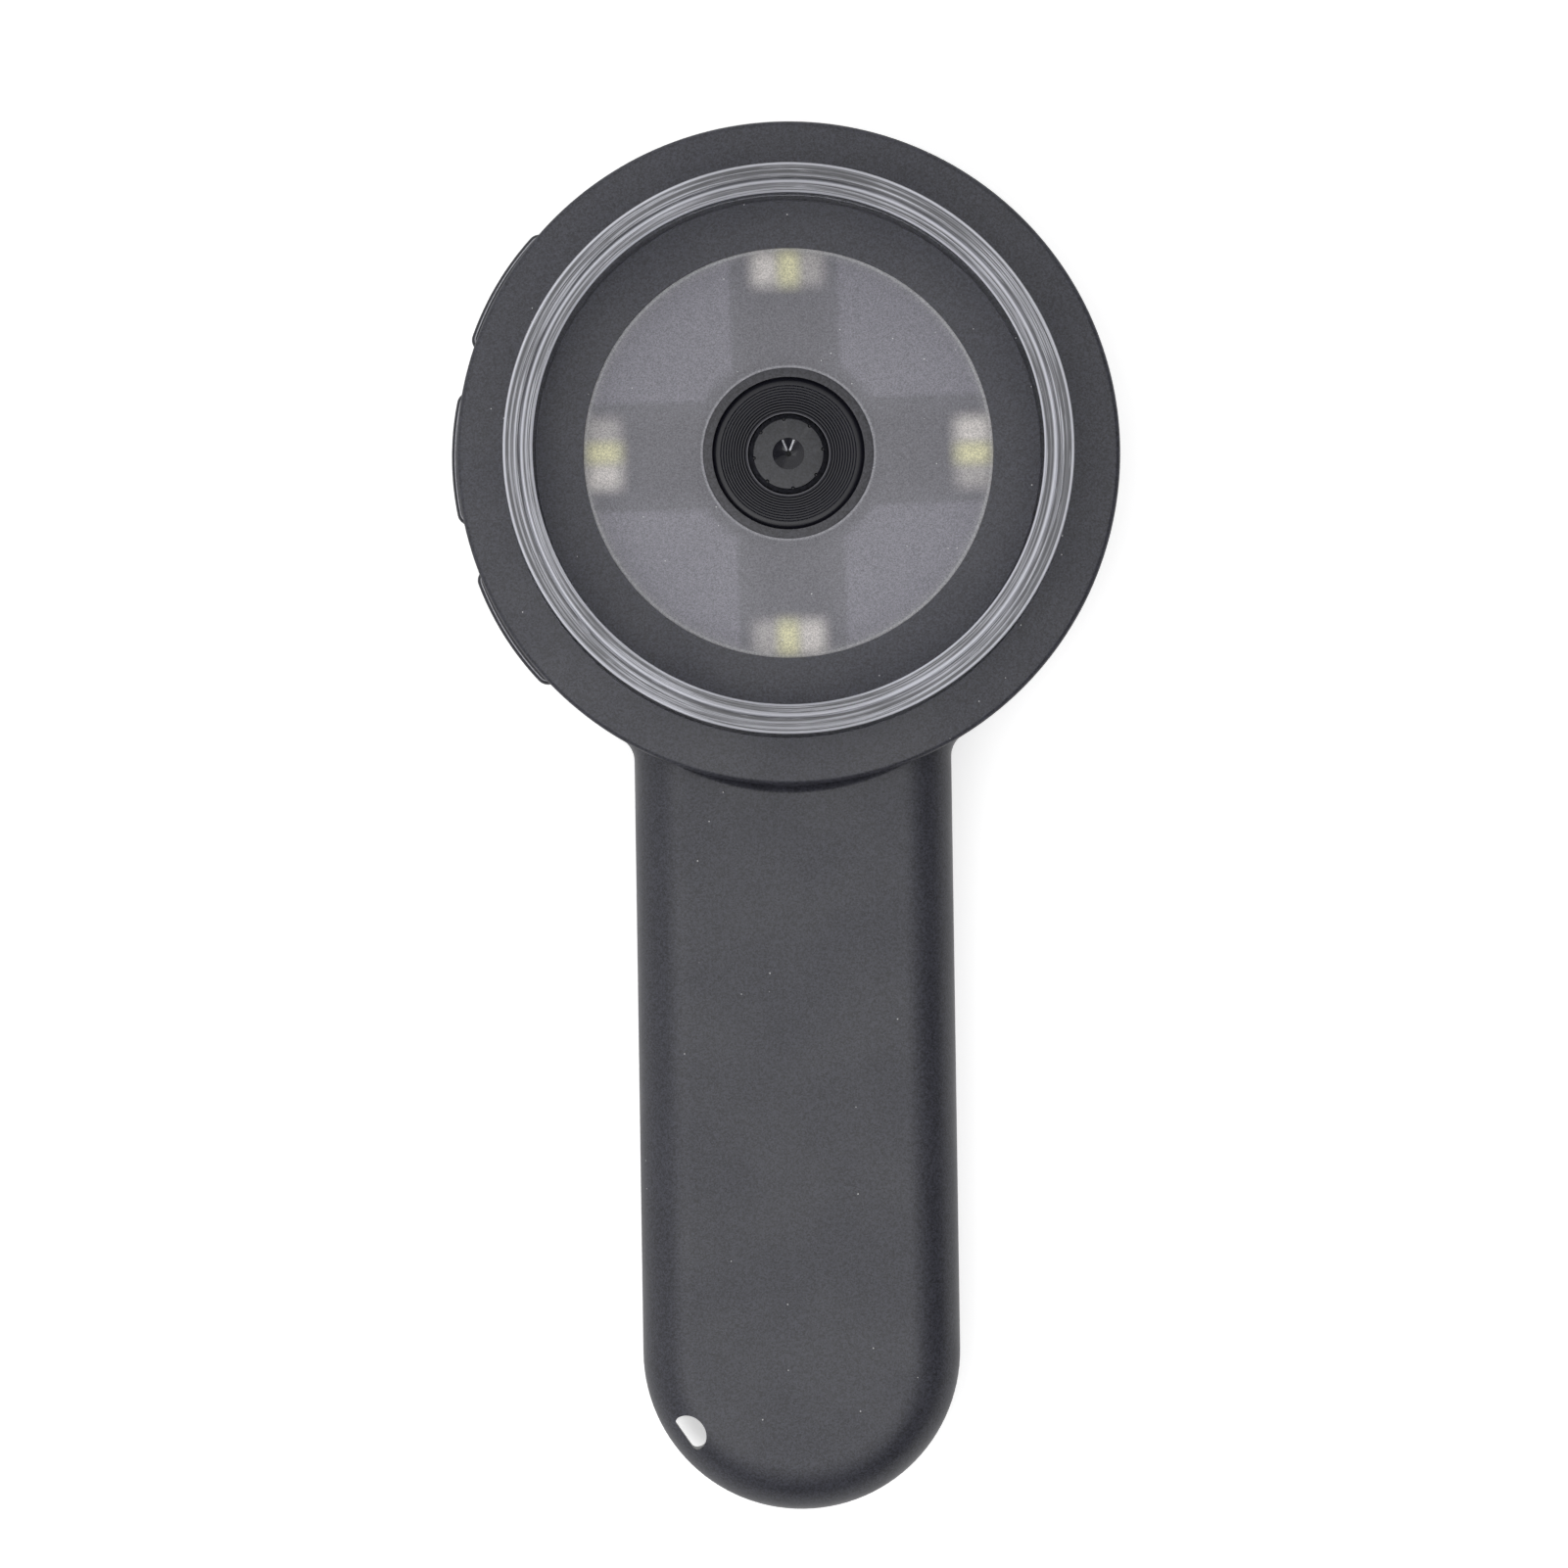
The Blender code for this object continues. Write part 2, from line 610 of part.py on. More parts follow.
class Workshop:
    """The collections and the materials that the sub-parts share."""

    def __init__(self):
        self.parts = make_collection("digital_magnifier")
        self.cutters = make_collection("cutters")
        self.black = make_material("case_plastic", (0.075, 0.075, 0.085), 0.55)
        self.clear = make_material("clear_acrylic", (0.95, 0.96, 0.97), 0.05, transmission=1.0)
        self.frost = make_material("frosted_acrylic", (0.42, 0.42, 0.45), 0.60)
        self.pale = make_material("tray_plastic", (0.60, 0.60, 0.62), 0.60)
        self.mask = make_material("lamp_board_mask", (0.24, 0.24, 0.26), 0.50)
        self.white = make_material("led_ceramic", (0.85, 0.85, 0.83), 0.40)
        self.yellow = make_material("led_phosphor", (0.80, 0.74, 0.30), 0.50)
        self.gloss = make_material("lens_plastic", (0.03, 0.03, 0.035), 0.35)
        self.glass = make_material("lens_glass", (0.80, 0.85, 0.90), 0.02, transmission=1.0)
        self.green = make_material("circuit_board", (0.03, 0.16, 0.09), 0.45)
        self.chip = make_material("chip_resin", (0.03, 0.03, 0.03), 0.60)
        self.steel = make_material("steel", (0.60, 0.60, 0.62), 0.30, metallic=1.0)
        self.rubber = make_material("foam", (0.05, 0.05, 0.05), 0.90)
        self.cell = make_material("cell_foil", (0.62, 0.63, 0.65), 0.35, metallic=0.8)
        self.red = make_material("red_lead", (0.60, 0.04, 0.03), 0.50)
        self.dark = make_material("black_lead", (0.02, 0.02, 0.02), 0.50)
        self.amber = make_material("flex_film", (0.55, 0.28, 0.06), 0.40)

    def part(self, name, mesh, material):
        """A finished sub-part."""
        piece = add_object(name, mesh, self.parts, material)
        smooth(piece)
        return piece

    def cutter(self, mesh):
        """A helper object that cuts or joins, left out of the model."""
        piece = add_object("cutter_" + mesh.name, mesh, self.cutters)
        hide_cutter(piece)
        return piece

    def turned_cutter(self, name, profile, steps=HEAD_STEPS, closed=True):
        """A turned helper object."""
        piece = turned("cutter_" + name, profile, self.cutters, steps=steps, closed=closed)
        hide_cutter(piece)
        return piece


def hide_cutter(piece):
    """Marks an object as a helper."""
    piece.hide_render = True
    piece.display_type = "WIRE"


def ring_profile(inner, outer, bottom, top):
    """A rectangular section between two radii."""
    return [(outer, top), (outer, bottom), (inner, bottom), (inner, top)]


def lanyard_outline(growth):
    """D-shaped hole near the handle's end, its straight side towards the edge."""
    half_length = LANYARD_LENGTH / 2 + growth
    half_width = LANYARD_WIDTH / 2 + growth
    corner = half_width / 2
    steps = FILLET_STEPS
    points = arc((half_width - corner, half_length - corner), corner, 0.0, math.pi / 2, steps)
    bow = LANYARD_WIDTH + 2 * growth - corner
    for step in range(1, 2 * steps):
        angle = math.pi / 2 + math.pi * step / (2 * steps)
        points.append((half_width - corner + bow * math.cos(angle), half_length * math.sin(angle)))
    points += arc((half_width - corner, corner - half_length), corner, -math.pi / 2, 0.0, steps)
    return points


def lanyard_mesh(name, wall, bottom, top):
    """A D-shaped plug between two levels, a wall larger than the hole, wider at the back by its draft."""
    growth_bottom = wall + LANYARD_DRAFT * (1 - bottom / HANDLE_HEIGHT)
    growth_top = wall + LANYARD_DRAFT * (1 - top / HANDLE_HEIGHT)
    mesh = prism_mesh(name, [lanyard_outline(growth_top)], bottom, top)
    width_share = (LANYARD_WIDTH + 2 * growth_bottom) / (LANYARD_WIDTH + 2 * growth_top)
    length_share = (LANYARD_LENGTH + 2 * growth_bottom) / (LANYARD_LENGTH + 2 * growth_top)
    middle = (bottom + top) / 2
    for vert in mesh.vertices:
        if vert.co.z < middle:
            vert.co.x *= width_share
            vert.co.y *= length_share
    move(mesh, (LANYARD_CENTRE_RADIUS, 0.0, 0.0))
    move(mesh, (0.0, -HANDLE_REACH, 0.0), LANYARD_ANGLE)
    return mesh


def lanyard_hole():
    """The space of the lanyard hole, through both shells."""
    return lanyard_mesh("lanyard_hole", 0.0, -CUT_OVERRUN, HANDLE_HEIGHT + CUT_OVERRUN)


def case_post_places():
    """Name and plan position of each case screw."""
    return (("left", -NECK_POST_X, NECK_POST_Y), ("right", NECK_POST_X, NECK_POST_Y),
            ("end", END_POST_X, END_POST_Y))


def board_post_places():
    """Plan positions of the posts that carry the main board."""
    angles = (POST_ANGLE, math.pi - POST_ANGLE, math.pi + POST_ANGLE, -POST_ANGLE)
    return [(POST_CIRCLE * math.cos(angle), POST_CIRCLE * math.sin(angle)) for angle in angles]


def key_angle(index):
    """Direction of a side key from the lens axis."""
    return math.pi + (index - 1) * KEY_SPACING


def key_slot(index):
    """The space of a key's slot through the case wall."""
    chord = KEY_CHORD + 2 * GAP
    inner = math.sqrt(HEAD_INSIDE ** 2 - (chord / 2) ** 2) - CUT_OVERRUN
    outer = KEY_OUTER + CUT_OVERRUN
    centre = ((inner + outer) / 2, 0.0, KEY_Z)
    size = (outer - inner, chord, KEY_HEIGHT + 2 * GAP)
    return box_mesh("slot_" + KEY_NAMES[index], size, centre, key_angle(index))


def stadium(width, height, steps=FILLET_STEPS):
    """A slot outline, round at both ends."""
    reach = (width - height) / 2
    right = arc((reach, 0.0), height / 2, -math.pi / 2, math.pi / 2, steps)
    left = arc((-reach, 0.0), height / 2, math.pi / 2, 3 * math.pi / 2, steps)
    return right + left


def facing_out(mesh, radius_start, angle, level):
    """Lays a prism's height along the radius at an angle, its outline upright."""
    stand = Matrix(((0, 0, 1, 0), (1, 0, 0, 0), (0, 1, 0, 0), (0, 0, 0, 1)))
    mesh.transform(stand)
    mesh.transform(Matrix.Translation((radius_start, 0.0, level)))
    mesh.transform(Matrix.Rotation(angle, 4, "Z"))
    return mesh


def socket_mouths():
    """The spaces of the two socket mouths in the rim."""
    start = HEAD_INSIDE / 2
    reach = HEAD_RADIUS + CUT_OVERRUN - start
    usb = prism_mesh("usb_mouth", [stadium(USB_WIDTH + 2 * GAP, USB_HEIGHT + 2 * GAP)], 0.0, reach)
    facing_out(usb, start, 0.0, SEAT_Z + USB_HEIGHT / 2)
    slot_height = CARD_HEIGHT + 2 * GAP
    slot_outline = [rectangle(CARD_WIDTH + 2 * GAP, slot_height, slot_height / 4)]
    card = prism_mesh("card_mouth", slot_outline, 0.0, reach)
    facing_out(card, start, CARD_ANGLE, SEAT_Z + CARD_HEIGHT / 2)
    return [usb, card]


def side_openings(shop, owner):
    """Cutter of every opening that both shells share: key slots, socket mouths and the lanyard hole."""
    slots = [key_slot(index) for index in range(len(KEY_NAMES))]
    return shop.cutter(joined(owner + "_side_openings", slots + socket_mouths() + [lanyard_hole()]))


def front_shell(shop):
    """Front half of the case: head, handle half, bezel, ring groove, posts and ribs."""
    profile = [(0.0, HEAD_HEIGHT), (HEAD_RADIUS - HEAD_EDGE, HEAD_HEIGHT),
               (HEAD_RADIUS, HEAD_HEIGHT - HEAD_EDGE), (HEAD_RADIUS, PARTING), (0.0, PARTING)]
    shell = turned("front_shell", profile, shop.parts, shop.black, closed=False)
    body = prism_mesh("front_handle", [handle_outline(0.0)], PARTING, HANDLE_HEIGHT)
    rim = outside_rim_edges(HANDLE_HEIGHT, HEAD_RADIUS - PICK_SLACK)
    round_edges(body, rim, HANDLE_FRONT_ROUND, ROUND_SEGMENTS + 1)
    cut(shell, shop.cutter(body), "UNION")
    hollow_front(shop, shell)
    add_front_posts(shop, shell)
    cut_front_openings(shop, shell)
    return shell


def hollow_front(shop, shell):
    """Takes out the space inside the front shell and the rabbet for the rear shell's tongue."""
    low = PARTING - CUT_OVERRUN
    head = [(0.0, CEILING), (HEAD_INSIDE, CEILING), (HEAD_INSIDE, low), (0.0, low)]
    cut(shell, shop.turned_cutter("head_space", head, closed=False))
    space = prism_mesh("handle_space", [handle_outline(CASE_WALL)], low, HANDLE_CEILING)
    rim = outside_rim_edges(HANDLE_CEILING, HEAD_INSIDE - PICK_SLACK)
    round_edges(space, rim, HANDLE_FRONT_ROUND - CASE_WALL, ROUND_SEGMENTS)
    hollow = shop.cutter(space)
    tube = lanyard_mesh("front_lanyard_tube", LANYARD_WALL, low - CUT_OVERRUN, HANDLE_CEILING + JOIN_DEPTH)
    cut(hollow, shop.cutter(tube))
    cut(shell, hollow)
    rabbet = prism_mesh("rabbet", [housing_outline(RABBET_INSET)], low, PARTING + RABBET_DEPTH)
    cut(shell, shop.cutter(rabbet))


def add_front_posts(shop, shell):
    """Joins the screw posts and the battery ribs to the front shell."""
    posts = []
    pilots = []
    for place in board_post_places():
        end = SEAT_Z + POST_PILOT_DEPTH
        posts.append(rod_mesh("board_post", POST_RADIUS, SEAT_Z, CEILING + JOIN_DEPTH, place))
        pilots.append(rod_mesh("board_pilot", POST_PILOT, SEAT_Z - CUT_OVERRUN, end, place))
    for _, x, y in case_post_places():
        end = PARTING + CASE_PILOT_DEPTH
        posts.append(rod_mesh("case_post", CASE_POST_RADIUS, PARTING, HANDLE_CEILING + JOIN_DEPTH, (x, y)))
        pilots.append(rod_mesh("case_pilot", CASE_PILOT, PARTING - CUT_OVERRUN, end, (x, y)))
    size = (2 * (HANDLE_HALF_WIDTH - HANDLE_FRONT_ROUND), RIB_THICKNESS, RIB_HEIGHT + JOIN_DEPTH)
    for side in (-1, 1):
        y = BATTERY_TOP_Y - BATTERY_LENGTH / 2 + side * BATTERY_LENGTH * RIB_INSET_SHARE
        posts.append(box_mesh("battery_rib", size, (0.0, y, RIB_BOTTOM + size[2] / 2)))
    cut(shell, shop.cutter(joined("front_posts", posts)), "UNION")
    cut(shell, shop.cutter(joined("front_pilots", pilots)))


def cut_front_openings(shop, shell):
    """Cuts the bezel, the ring groove and the openings in the sides."""
    lip = HEAD_HEIGHT - BEZEL_LIP
    over = HEAD_HEIGHT + CUT_OVERRUN
    bezel = [(0.0, over), (BEZEL_RADIUS + BEZEL_CHAMFER + CUT_OVERRUN, over),
             (BEZEL_RADIUS, HEAD_HEIGHT - BEZEL_CHAMFER), (BEZEL_RADIUS, lip), (DIFFUSER_RADIUS + GAP, lip),
             (DIFFUSER_RADIUS + GAP, CEILING - CUT_OVERRUN), (0.0, CEILING - CUT_OVERRUN)]
    cut(shell, shop.turned_cutter("bezel", bezel, closed=False))
    groove = ring_profile(RING_INNER - GAP, RING_OUTER + GAP, HEAD_HEIGHT - RING_GROOVE_DEPTH, over)
    cut(shell, shop.turned_cutter("ring_groove", groove))
    cut(shell, side_openings(shop, "front"))


def rear_shell(shop):
    """Rear half of the case: a tray with the screen recess, a tongue, screw bosses and sockets."""
    mesh = prism_mesh("rear_shell", [housing_outline(0.0)], 0.0, PARTING)
    round_edges(mesh, rim_edges(0.0), BACK_ROUND, ROUND_SEGMENTS)
    shell = shop.part("rear_shell", mesh, shop.black)
    tongue_top = PARTING + RABBET_DEPTH - GAP
    tongue = prism_mesh("tongue", [housing_outline(RABBET_INSET + GAP)], PARTING - JOIN_DEPTH, tongue_top)
    cut(shell, shop.cutter(tongue), "UNION")
    space = prism_mesh("rear_space", [housing_outline(CASE_WALL)], REAR_WALL, tongue_top + CUT_OVERRUN)
    round_edges(space, rim_edges(REAR_WALL), BACK_ROUND - CASE_WALL, FINE_SEGMENTS)
    hollow = shop.cutter(space)
    tube_top = tongue_top + 2 * CUT_OVERRUN
    tube = lanyard_mesh("rear_lanyard_tube", LANYARD_WALL, REAR_WALL - JOIN_DEPTH, tube_top)
    cut(hollow, shop.cutter(tube))
    cut(shell, hollow)
    add_rear_posts(shop, shell)
    cut_rear_openings(shop, shell)
    return shell


def add_rear_posts(shop, shell):
    """Joins the screw bosses and the battery fences to the rear shell."""
    low = REAR_WALL - JOIN_DEPTH
    over = PARTING + CUT_OVERRUN
    places = [(x, y) for _, x, y in case_post_places()]
    bosses = [rod_mesh("case_boss", CASE_BOSS_RADIUS, low, PARTING - GAP, place) for place in places]
    holes = [rod_mesh("case_hole", CASE_PILOT, CASE_COUNTERBORE_DEPTH / 2, over, place) for place in places]
    bore = CASE_SCREW_HEAD + GAP
    bores = [rod_mesh("case_bore", bore, -CUT_OVERRUN, CASE_COUNTERBORE_DEPTH, place) for place in places]
    fence_top = (BATTERY_Z + BATTERY_TOP) / 2
    size = (RIB_THICKNESS, BATTERY_LENGTH, fence_top - low)
    for side in (-1, 1):
        x = side * (BATTERY_WIDTH / 2 + GAP + RIB_THICKNESS / 2)
        centre = (x, BATTERY_TOP_Y - BATTERY_LENGTH / 2, (fence_top + low) / 2)
        bosses.append(box_mesh("battery_fence", size, centre))
    cut(shell, shop.cutter(joined("rear_bosses", bosses)), "UNION")
    cut(shell, shop.cutter(joined("rear_holes", holes)))
    cut(shell, shop.cutter(joined("rear_bores", bores)))


def cut_rear_openings(shop, shell):
    """Cuts the screen recess, its view and the openings in the sides."""
    recess = [(0.0, WINDOW_RECESS), (WINDOW_RADIUS + GAP, WINDOW_RECESS), (WINDOW_RADIUS + GAP, -CUT_OVERRUN),
              (0.0, -CUT_OVERRUN)]
    cut(shell, shop.turned_cutter("screen_recess", recess, closed=False))
    view_outline = rectangle(VIEW_WIDTH, VIEW_HEIGHT, VIEW_CORNER)
    view = prism_mesh("screen_view", [view_outline], -CUT_OVERRUN, REAR_WALL + CUT_OVERRUN)
    cut(shell, shop.cutter(view))
    cut(shell, side_openings(shop, "rear"))


def clear_ring(shop):
    """Clear stand-off ring, seated in the groove of the front shell."""
    top = HEAD_HEIGHT + RING_PROUD
    bottom = HEAD_HEIGHT - RING_GROOVE_DEPTH + GAP
    bevel = RING_CHAMFER
    profile = [(RING_OUTER - bevel, top), (RING_OUTER, top - bevel), (RING_OUTER, bottom),
               (RING_INNER, bottom), (RING_INNER, top - bevel), (RING_INNER + bevel, top)]
    return turned("clear_ring", profile, shop.parts, shop.clear)


def diffuser(shop):
    """Frosted disc under the bezel lip, with the hole for the lens collar."""
    edge = BEZEL_CHAMFER / 2
    profile = [(DIFFUSER_RADIUS, DIFFUSER_TOP), (DIFFUSER_RADIUS, DIFFUSER_Z), (DIFFUSER_HOLE, DIFFUSER_Z),
               (DIFFUSER_HOLE, DIFFUSER_TOP - edge), (DIFFUSER_HOLE + edge, DIFFUSER_TOP)]
    return turned("diffuser", profile, shop.parts, shop.frost)


def light_tray(shop):
    """Pale dish behind the diffuser, with two holes for the lamp leads."""
    top = DIFFUSER_Z - GAP
    floor = TRAY_Z + TRAY_FLOOR
    inner = DIFFUSER_RADIUS - TRAY_WALL
    profile = [(DIFFUSER_RADIUS, top), (DIFFUSER_RADIUS, TRAY_Z), (DIFFUSER_HOLE, TRAY_Z),
               (DIFFUSER_HOLE, floor), (inner, floor), (inner, top)]
    tray = turned("light_tray", profile, shop.parts, shop.pale)
    for side in (-1, 1):
        place = (LED_LEAD_X + LED_LEAD_BOW, side * LED_LEAD_SPACING / 2)
        radius = LED_LEAD_RADIUS + GAP
        hole = rod_mesh(f"lead_hole_{side + 1}", radius, TRAY_Z - GAP / 2, floor + GAP / 2, place)
        cut(tray, shop.cutter(hole))
    return tray


def lamp_board_outline():
    """Four arms with round ends, joined by a round hub."""
    half = ARM_WIDTH / 2
    end_angle = math.asin(half / ARM_REACH)
    hub_angle = math.asin(half / HUB_RADIUS)
    points = []
    for turn in range(4):
        angle = turn * math.pi / 2
        points += arc((0.0, 0.0), ARM_REACH, angle - end_angle, angle + end_angle, FILLET_STEPS)
        next_arm = angle + math.pi / 2
        points += arc((0.0, 0.0), HUB_RADIUS, angle + hub_angle, next_arm - hub_angle, FILLET_STEPS)
    return points


def led_board(shop):
    """Cross-shaped lamp board on the tray."""
    hole = arc((0.0, 0.0), DIFFUSER_HOLE, 0.0, 2 * math.pi, SMALL_STEPS)[:-1]
    top = LAMP_BOARD_Z + BOARD_THICKNESS
    mesh = prism_mesh("led_board", [lamp_board_outline(), hole], LAMP_BOARD_Z, top)
    return shop.part("led_board", mesh, shop.mask)


def leds(shop):
    """Four lamp packages, each with a phosphor fill in its recess."""
    for index, name in enumerate(LED_NAMES):
        turn = math.pi / 2 * (index + 1)
        centre = (LED_RADIUS, 0.0, LED_Z + LED_HEIGHT / 2)
        block = box_mesh("led_" + name, (LED_WIDTH, LED_LENGTH, LED_HEIGHT), centre, turn)
        package = shop.part("led_" + name, block, shop.white)
        top = LED_Z + LED_HEIGHT
        recess_depth = PHOSPHOR_DEPTH + FINE_GAP
        recess_size = (PHOSPHOR_WIDTH, PHOSPHOR_LENGTH, recess_depth + CUT_OVERRUN)
        recess_centre = (LED_RADIUS, 0.0, top - recess_depth + recess_size[2] / 2)
        cut(package, shop.cutter(box_mesh("led_recess_" + name, recess_size, recess_centre, turn)))
        fill_size = (PHOSPHOR_WIDTH - 2 * FINE_GAP, PHOSPHOR_LENGTH - 2 * FINE_GAP, PHOSPHOR_DEPTH)
        fill_centre = (LED_RADIUS, 0.0, top - PHOSPHOR_DEPTH / 2)
        fill = box_mesh("phosphor_" + name, fill_size, fill_centre, turn)
        shop.part("phosphor_" + name, fill, shop.yellow)


def funnel_profile():
    """Section of the lens funnel: collar, ridged dish, throat, skirt and shoulder."""
    shoulder_low = SHOULDER_TOP - SHOULDER_THICKNESS
    points = [(COLLAR_RADIUS, DIFFUSER_TOP), (COLLAR_RADIUS, SHOULDER_TOP), (SHOULDER_RADIUS, SHOULDER_TOP),
              (SHOULDER_RADIUS, shoulder_low), (COLLAR_RADIUS, shoulder_low), (COLLAR_RADIUS, SEAT_Z),
              (SKIRT_INNER, SEAT_Z), (SKIRT_INNER, PLATE_LOW), (FUNNEL_THROAT, PLATE_LOW),
              (FUNNEL_THROAT, DISH_FLOOR)]
    radius = FUNNEL_THROAT + THROAT_LAND
    level = DISH_FLOOR
    for _ in range(RIDGE_COUNT):
        points.append((radius, level))
        level += RIDGE_DROP
        points.append((radius, level))
        radius += RIDGE_PITCH
    points.append((DISH_RADIUS, DIFFUSER_TOP - DISH_DROP))
    points.append((COLLAR_INNER - COLLAR_CHAMFER, DIFFUSER_TOP - COLLAR_CHAMFER))
    points.append((COLLAR_INNER, DIFFUSER_TOP))
    return points


def lens_funnel(shop):
    """Ridged black funnel that stands on the main board and carries the light tray."""
    return turned("lens_funnel", funnel_profile(), shop.parts, shop.gloss, steps=SMALL_STEPS)


def lens_barrel(shop):
    """Camera barrel with a conical eye in its face and grip notches round the rim."""
    inside_top = BARREL_TOP - BARREL_FACE
    eye_floor = BARREL_TOP - EYE_DEPTH
    profile = [(BARREL_RADIUS, BARREL_TOP), (BARREL_RADIUS, BARREL_Z), (BARREL_BORE, BARREL_Z),
               (BARREL_BORE, inside_top), (PINHOLE_RADIUS, inside_top), (PINHOLE_RADIUS, eye_floor),
               (EYE_RADIUS, BARREL_TOP)]
    barrel = turned("lens_barrel", profile, shop.parts, shop.gloss, steps=SMALL_STEPS)
    for index in range(NOTCH_COUNT):
        angle = 2 * math.pi * (index + 0.5) / NOTCH_COUNT
        place = (BARREL_RADIUS * math.cos(angle), BARREL_RADIUS * math.sin(angle))
        bottom = BARREL_TOP - NOTCH_DEPTH
        notch = rod_mesh(f"notch_{index}", NOTCH_RADIUS, bottom, BARREL_TOP + NOTCH_DEPTH, place, NOTCH_STEPS)
        cut(barrel, shop.cutter(notch))
    return barrel


def lens_profile(radius, bottom, thickness, crown):
    """Section of a lens: a cylinder edge with domed faces, from the top centre to the bottom centre."""
    points = []
    for step in range(FILLET_STEPS):
        share = step / FILLET_STEPS
        points.append((radius * share, bottom + thickness - crown * share ** 2))
    points.append((radius, bottom + thickness - crown))
    points.append((radius, bottom + crown))
    for step in reversed(range(FILLET_STEPS)):
        share = step / FILLET_STEPS
        points.append((radius * share, bottom + crown * share ** 2))
    return points


def lenses(shop):
    """Front lens, spacer tube and rear lens inside the barrel."""
    front = lens_profile(LENS_RADIUS, LENS_Z, LENS_THICKNESS, LENS_CROWN)
    turned("front_lens", front, shop.parts, shop.glass, steps=ARC_STEPS, closed=False)
    spacer = ring_profile(LENS_RADIUS - SPACER_WALL, LENS_RADIUS, SPACER_Z, LENS_Z - GAP)
    turned("lens_spacer", spacer, shop.parts, shop.gloss, steps=ARC_STEPS)
    rear = lens_profile(LENS_RADIUS, REAR_LENS_Z, REAR_LENS_THICKNESS, LENS_CROWN)
    turned("rear_lens", rear, shop.parts, shop.glass, steps=ARC_STEPS, closed=False)


def camera_base(shop):
    """Lens holder with its tower, the filter under its seat and the image sensor."""
    base = (HOLDER_WIDTH, HOLDER_WIDTH, HOLDER_BASE)
    mesh = box_mesh("lens_holder", base, (0.0, 0.0, SEAT_Z + HOLDER_BASE / 2))
    holder = shop.part("lens_holder", mesh, shop.gloss)
    tower = rod_mesh("holder_tower", HOLDER_TOWER, SEAT_Z + HOLDER_BASE / 2, HOLDER_TOP, steps=ARC_STEPS)
    cut(holder, shop.cutter(tower), "UNION")
    bore = rod_mesh("holder_bore", HOLDER_BORE, BARREL_Z - GAP, HOLDER_TOP + CUT_OVERRUN, steps=ARC_STEPS)
    cut(holder, shop.cutter(bore))
    room = SENSOR_WIDTH + 2 * GAP
    height = HOLDER_SEAT_Z - SEAT_Z + CUT_OVERRUN
    cavity = box_mesh("holder_cavity", (room, room, height), (0.0, 0.0, HOLDER_SEAT_Z - height / 2))
    cut(holder, shop.cutter(cavity))
    gate = (FILTER_WINDOW, FILTER_WINDOW, SEAT_THICKNESS + CUT_OVERRUN)
    cut(holder, shop.cutter(box_mesh("holder_gate", gate, (0.0, 0.0, HOLDER_SEAT_Z + SEAT_THICKNESS / 2))))
    pane_size = (FILTER_WIDTH, FILTER_WIDTH, FILTER_THICKNESS)
    pane = box_mesh("ir_filter", pane_size, (0.0, 0.0, FILTER_Z + FILTER_THICKNESS / 2))
    shop.part("ir_filter", pane, shop.glass)
    die_size = (SENSOR_WIDTH, SENSOR_WIDTH, SENSOR_HEIGHT)
    die = box_mesh("image_sensor", die_size, (0.0, 0.0, SEAT_Z + SENSOR_HEIGHT / 2))
    shop.part("image_sensor", die, shop.chip)


def main_board(shop):
    """Round main board with its screw holes and the slot for the screen's flex."""
    outline = arc((0.0, 0.0), PCB_RADIUS, 0.0, 2 * math.pi, HEAD_STEPS // 2)[:-1]
    holes = [arc(place, POST_PILOT, 0.0, 2 * math.pi, PIN_STEPS)[:-1] for place in board_post_places()]
    slot_width = FLEX_WIDTH + 2 * FLEX_CLEARANCE
    slot = rectangle(slot_width, FLEX_THICKNESS + 2 * FLEX_CLEARANCE, GAP, (0.0, FLEX_RISE_Y))
    mesh = prism_mesh("main_board", [outline] + holes + [slot], PCB_Z, PCB_TOP)
    return shop.part("main_board", mesh, shop.green)


def chips(shop):
    """Processor, memory and crystal on the main board."""
    processor = (PROCESSOR_WIDTH, PROCESSOR_WIDTH, PROCESSOR_HEIGHT)
    memory = (MEMORY_LENGTH, MEMORY_WIDTH, MEMORY_HEIGHT)
    crystal = (CRYSTAL_LENGTH, CRYSTAL_WIDTH, CRYSTAL_HEIGHT)
    seats = (("processor", processor, (PROCESSOR_X, 0.0), shop.chip),
             ("memory_chip", memory, (0.0, MEMORY_Y), shop.chip),
             ("crystal", crystal, (CRYSTAL_X, CRYSTAL_Y), shop.steel))
    for name, size, (x, y), material in seats:
        mesh = box_mesh(name, size, (x, y, SEAT_Z + size[2] / 2), rounding=CHIP_EDGE, segments=1)
        shop.part(name, mesh, material)


def screw(shop, name, place, level, head, head_height, shank, length, drive_width, drive_depth):
    """A screw that points up, its cross-recessed head at the level below."""
    top = level + head_height + length
    tip = shank * SCREW_TIP_SHARE
    crown = head_height * SCREW_CROWN_SHARE
    profile = [(0.0, top), (shank - tip / 2, top), (shank, top - tip), (shank, level + head_height),
               (head, level + head_height), (head, level + crown), (head - crown, level), (0.0, level)]
    piece = turned(name, profile, shop.parts, shop.steel, steps=PIN_STEPS, closed=False)
    piece.location = (*place, 0.0)
    for quarter in (0, 1):
        size = (head, drive_width, 2 * drive_depth)
        bar = box_mesh(f"{name}_drive_{quarter}", size, (0.0, 0.0, level), quarter * math.pi / 2)
        move(bar, (*place, 0.0))
        cut(piece, shop.cutter(bar))
    return piece


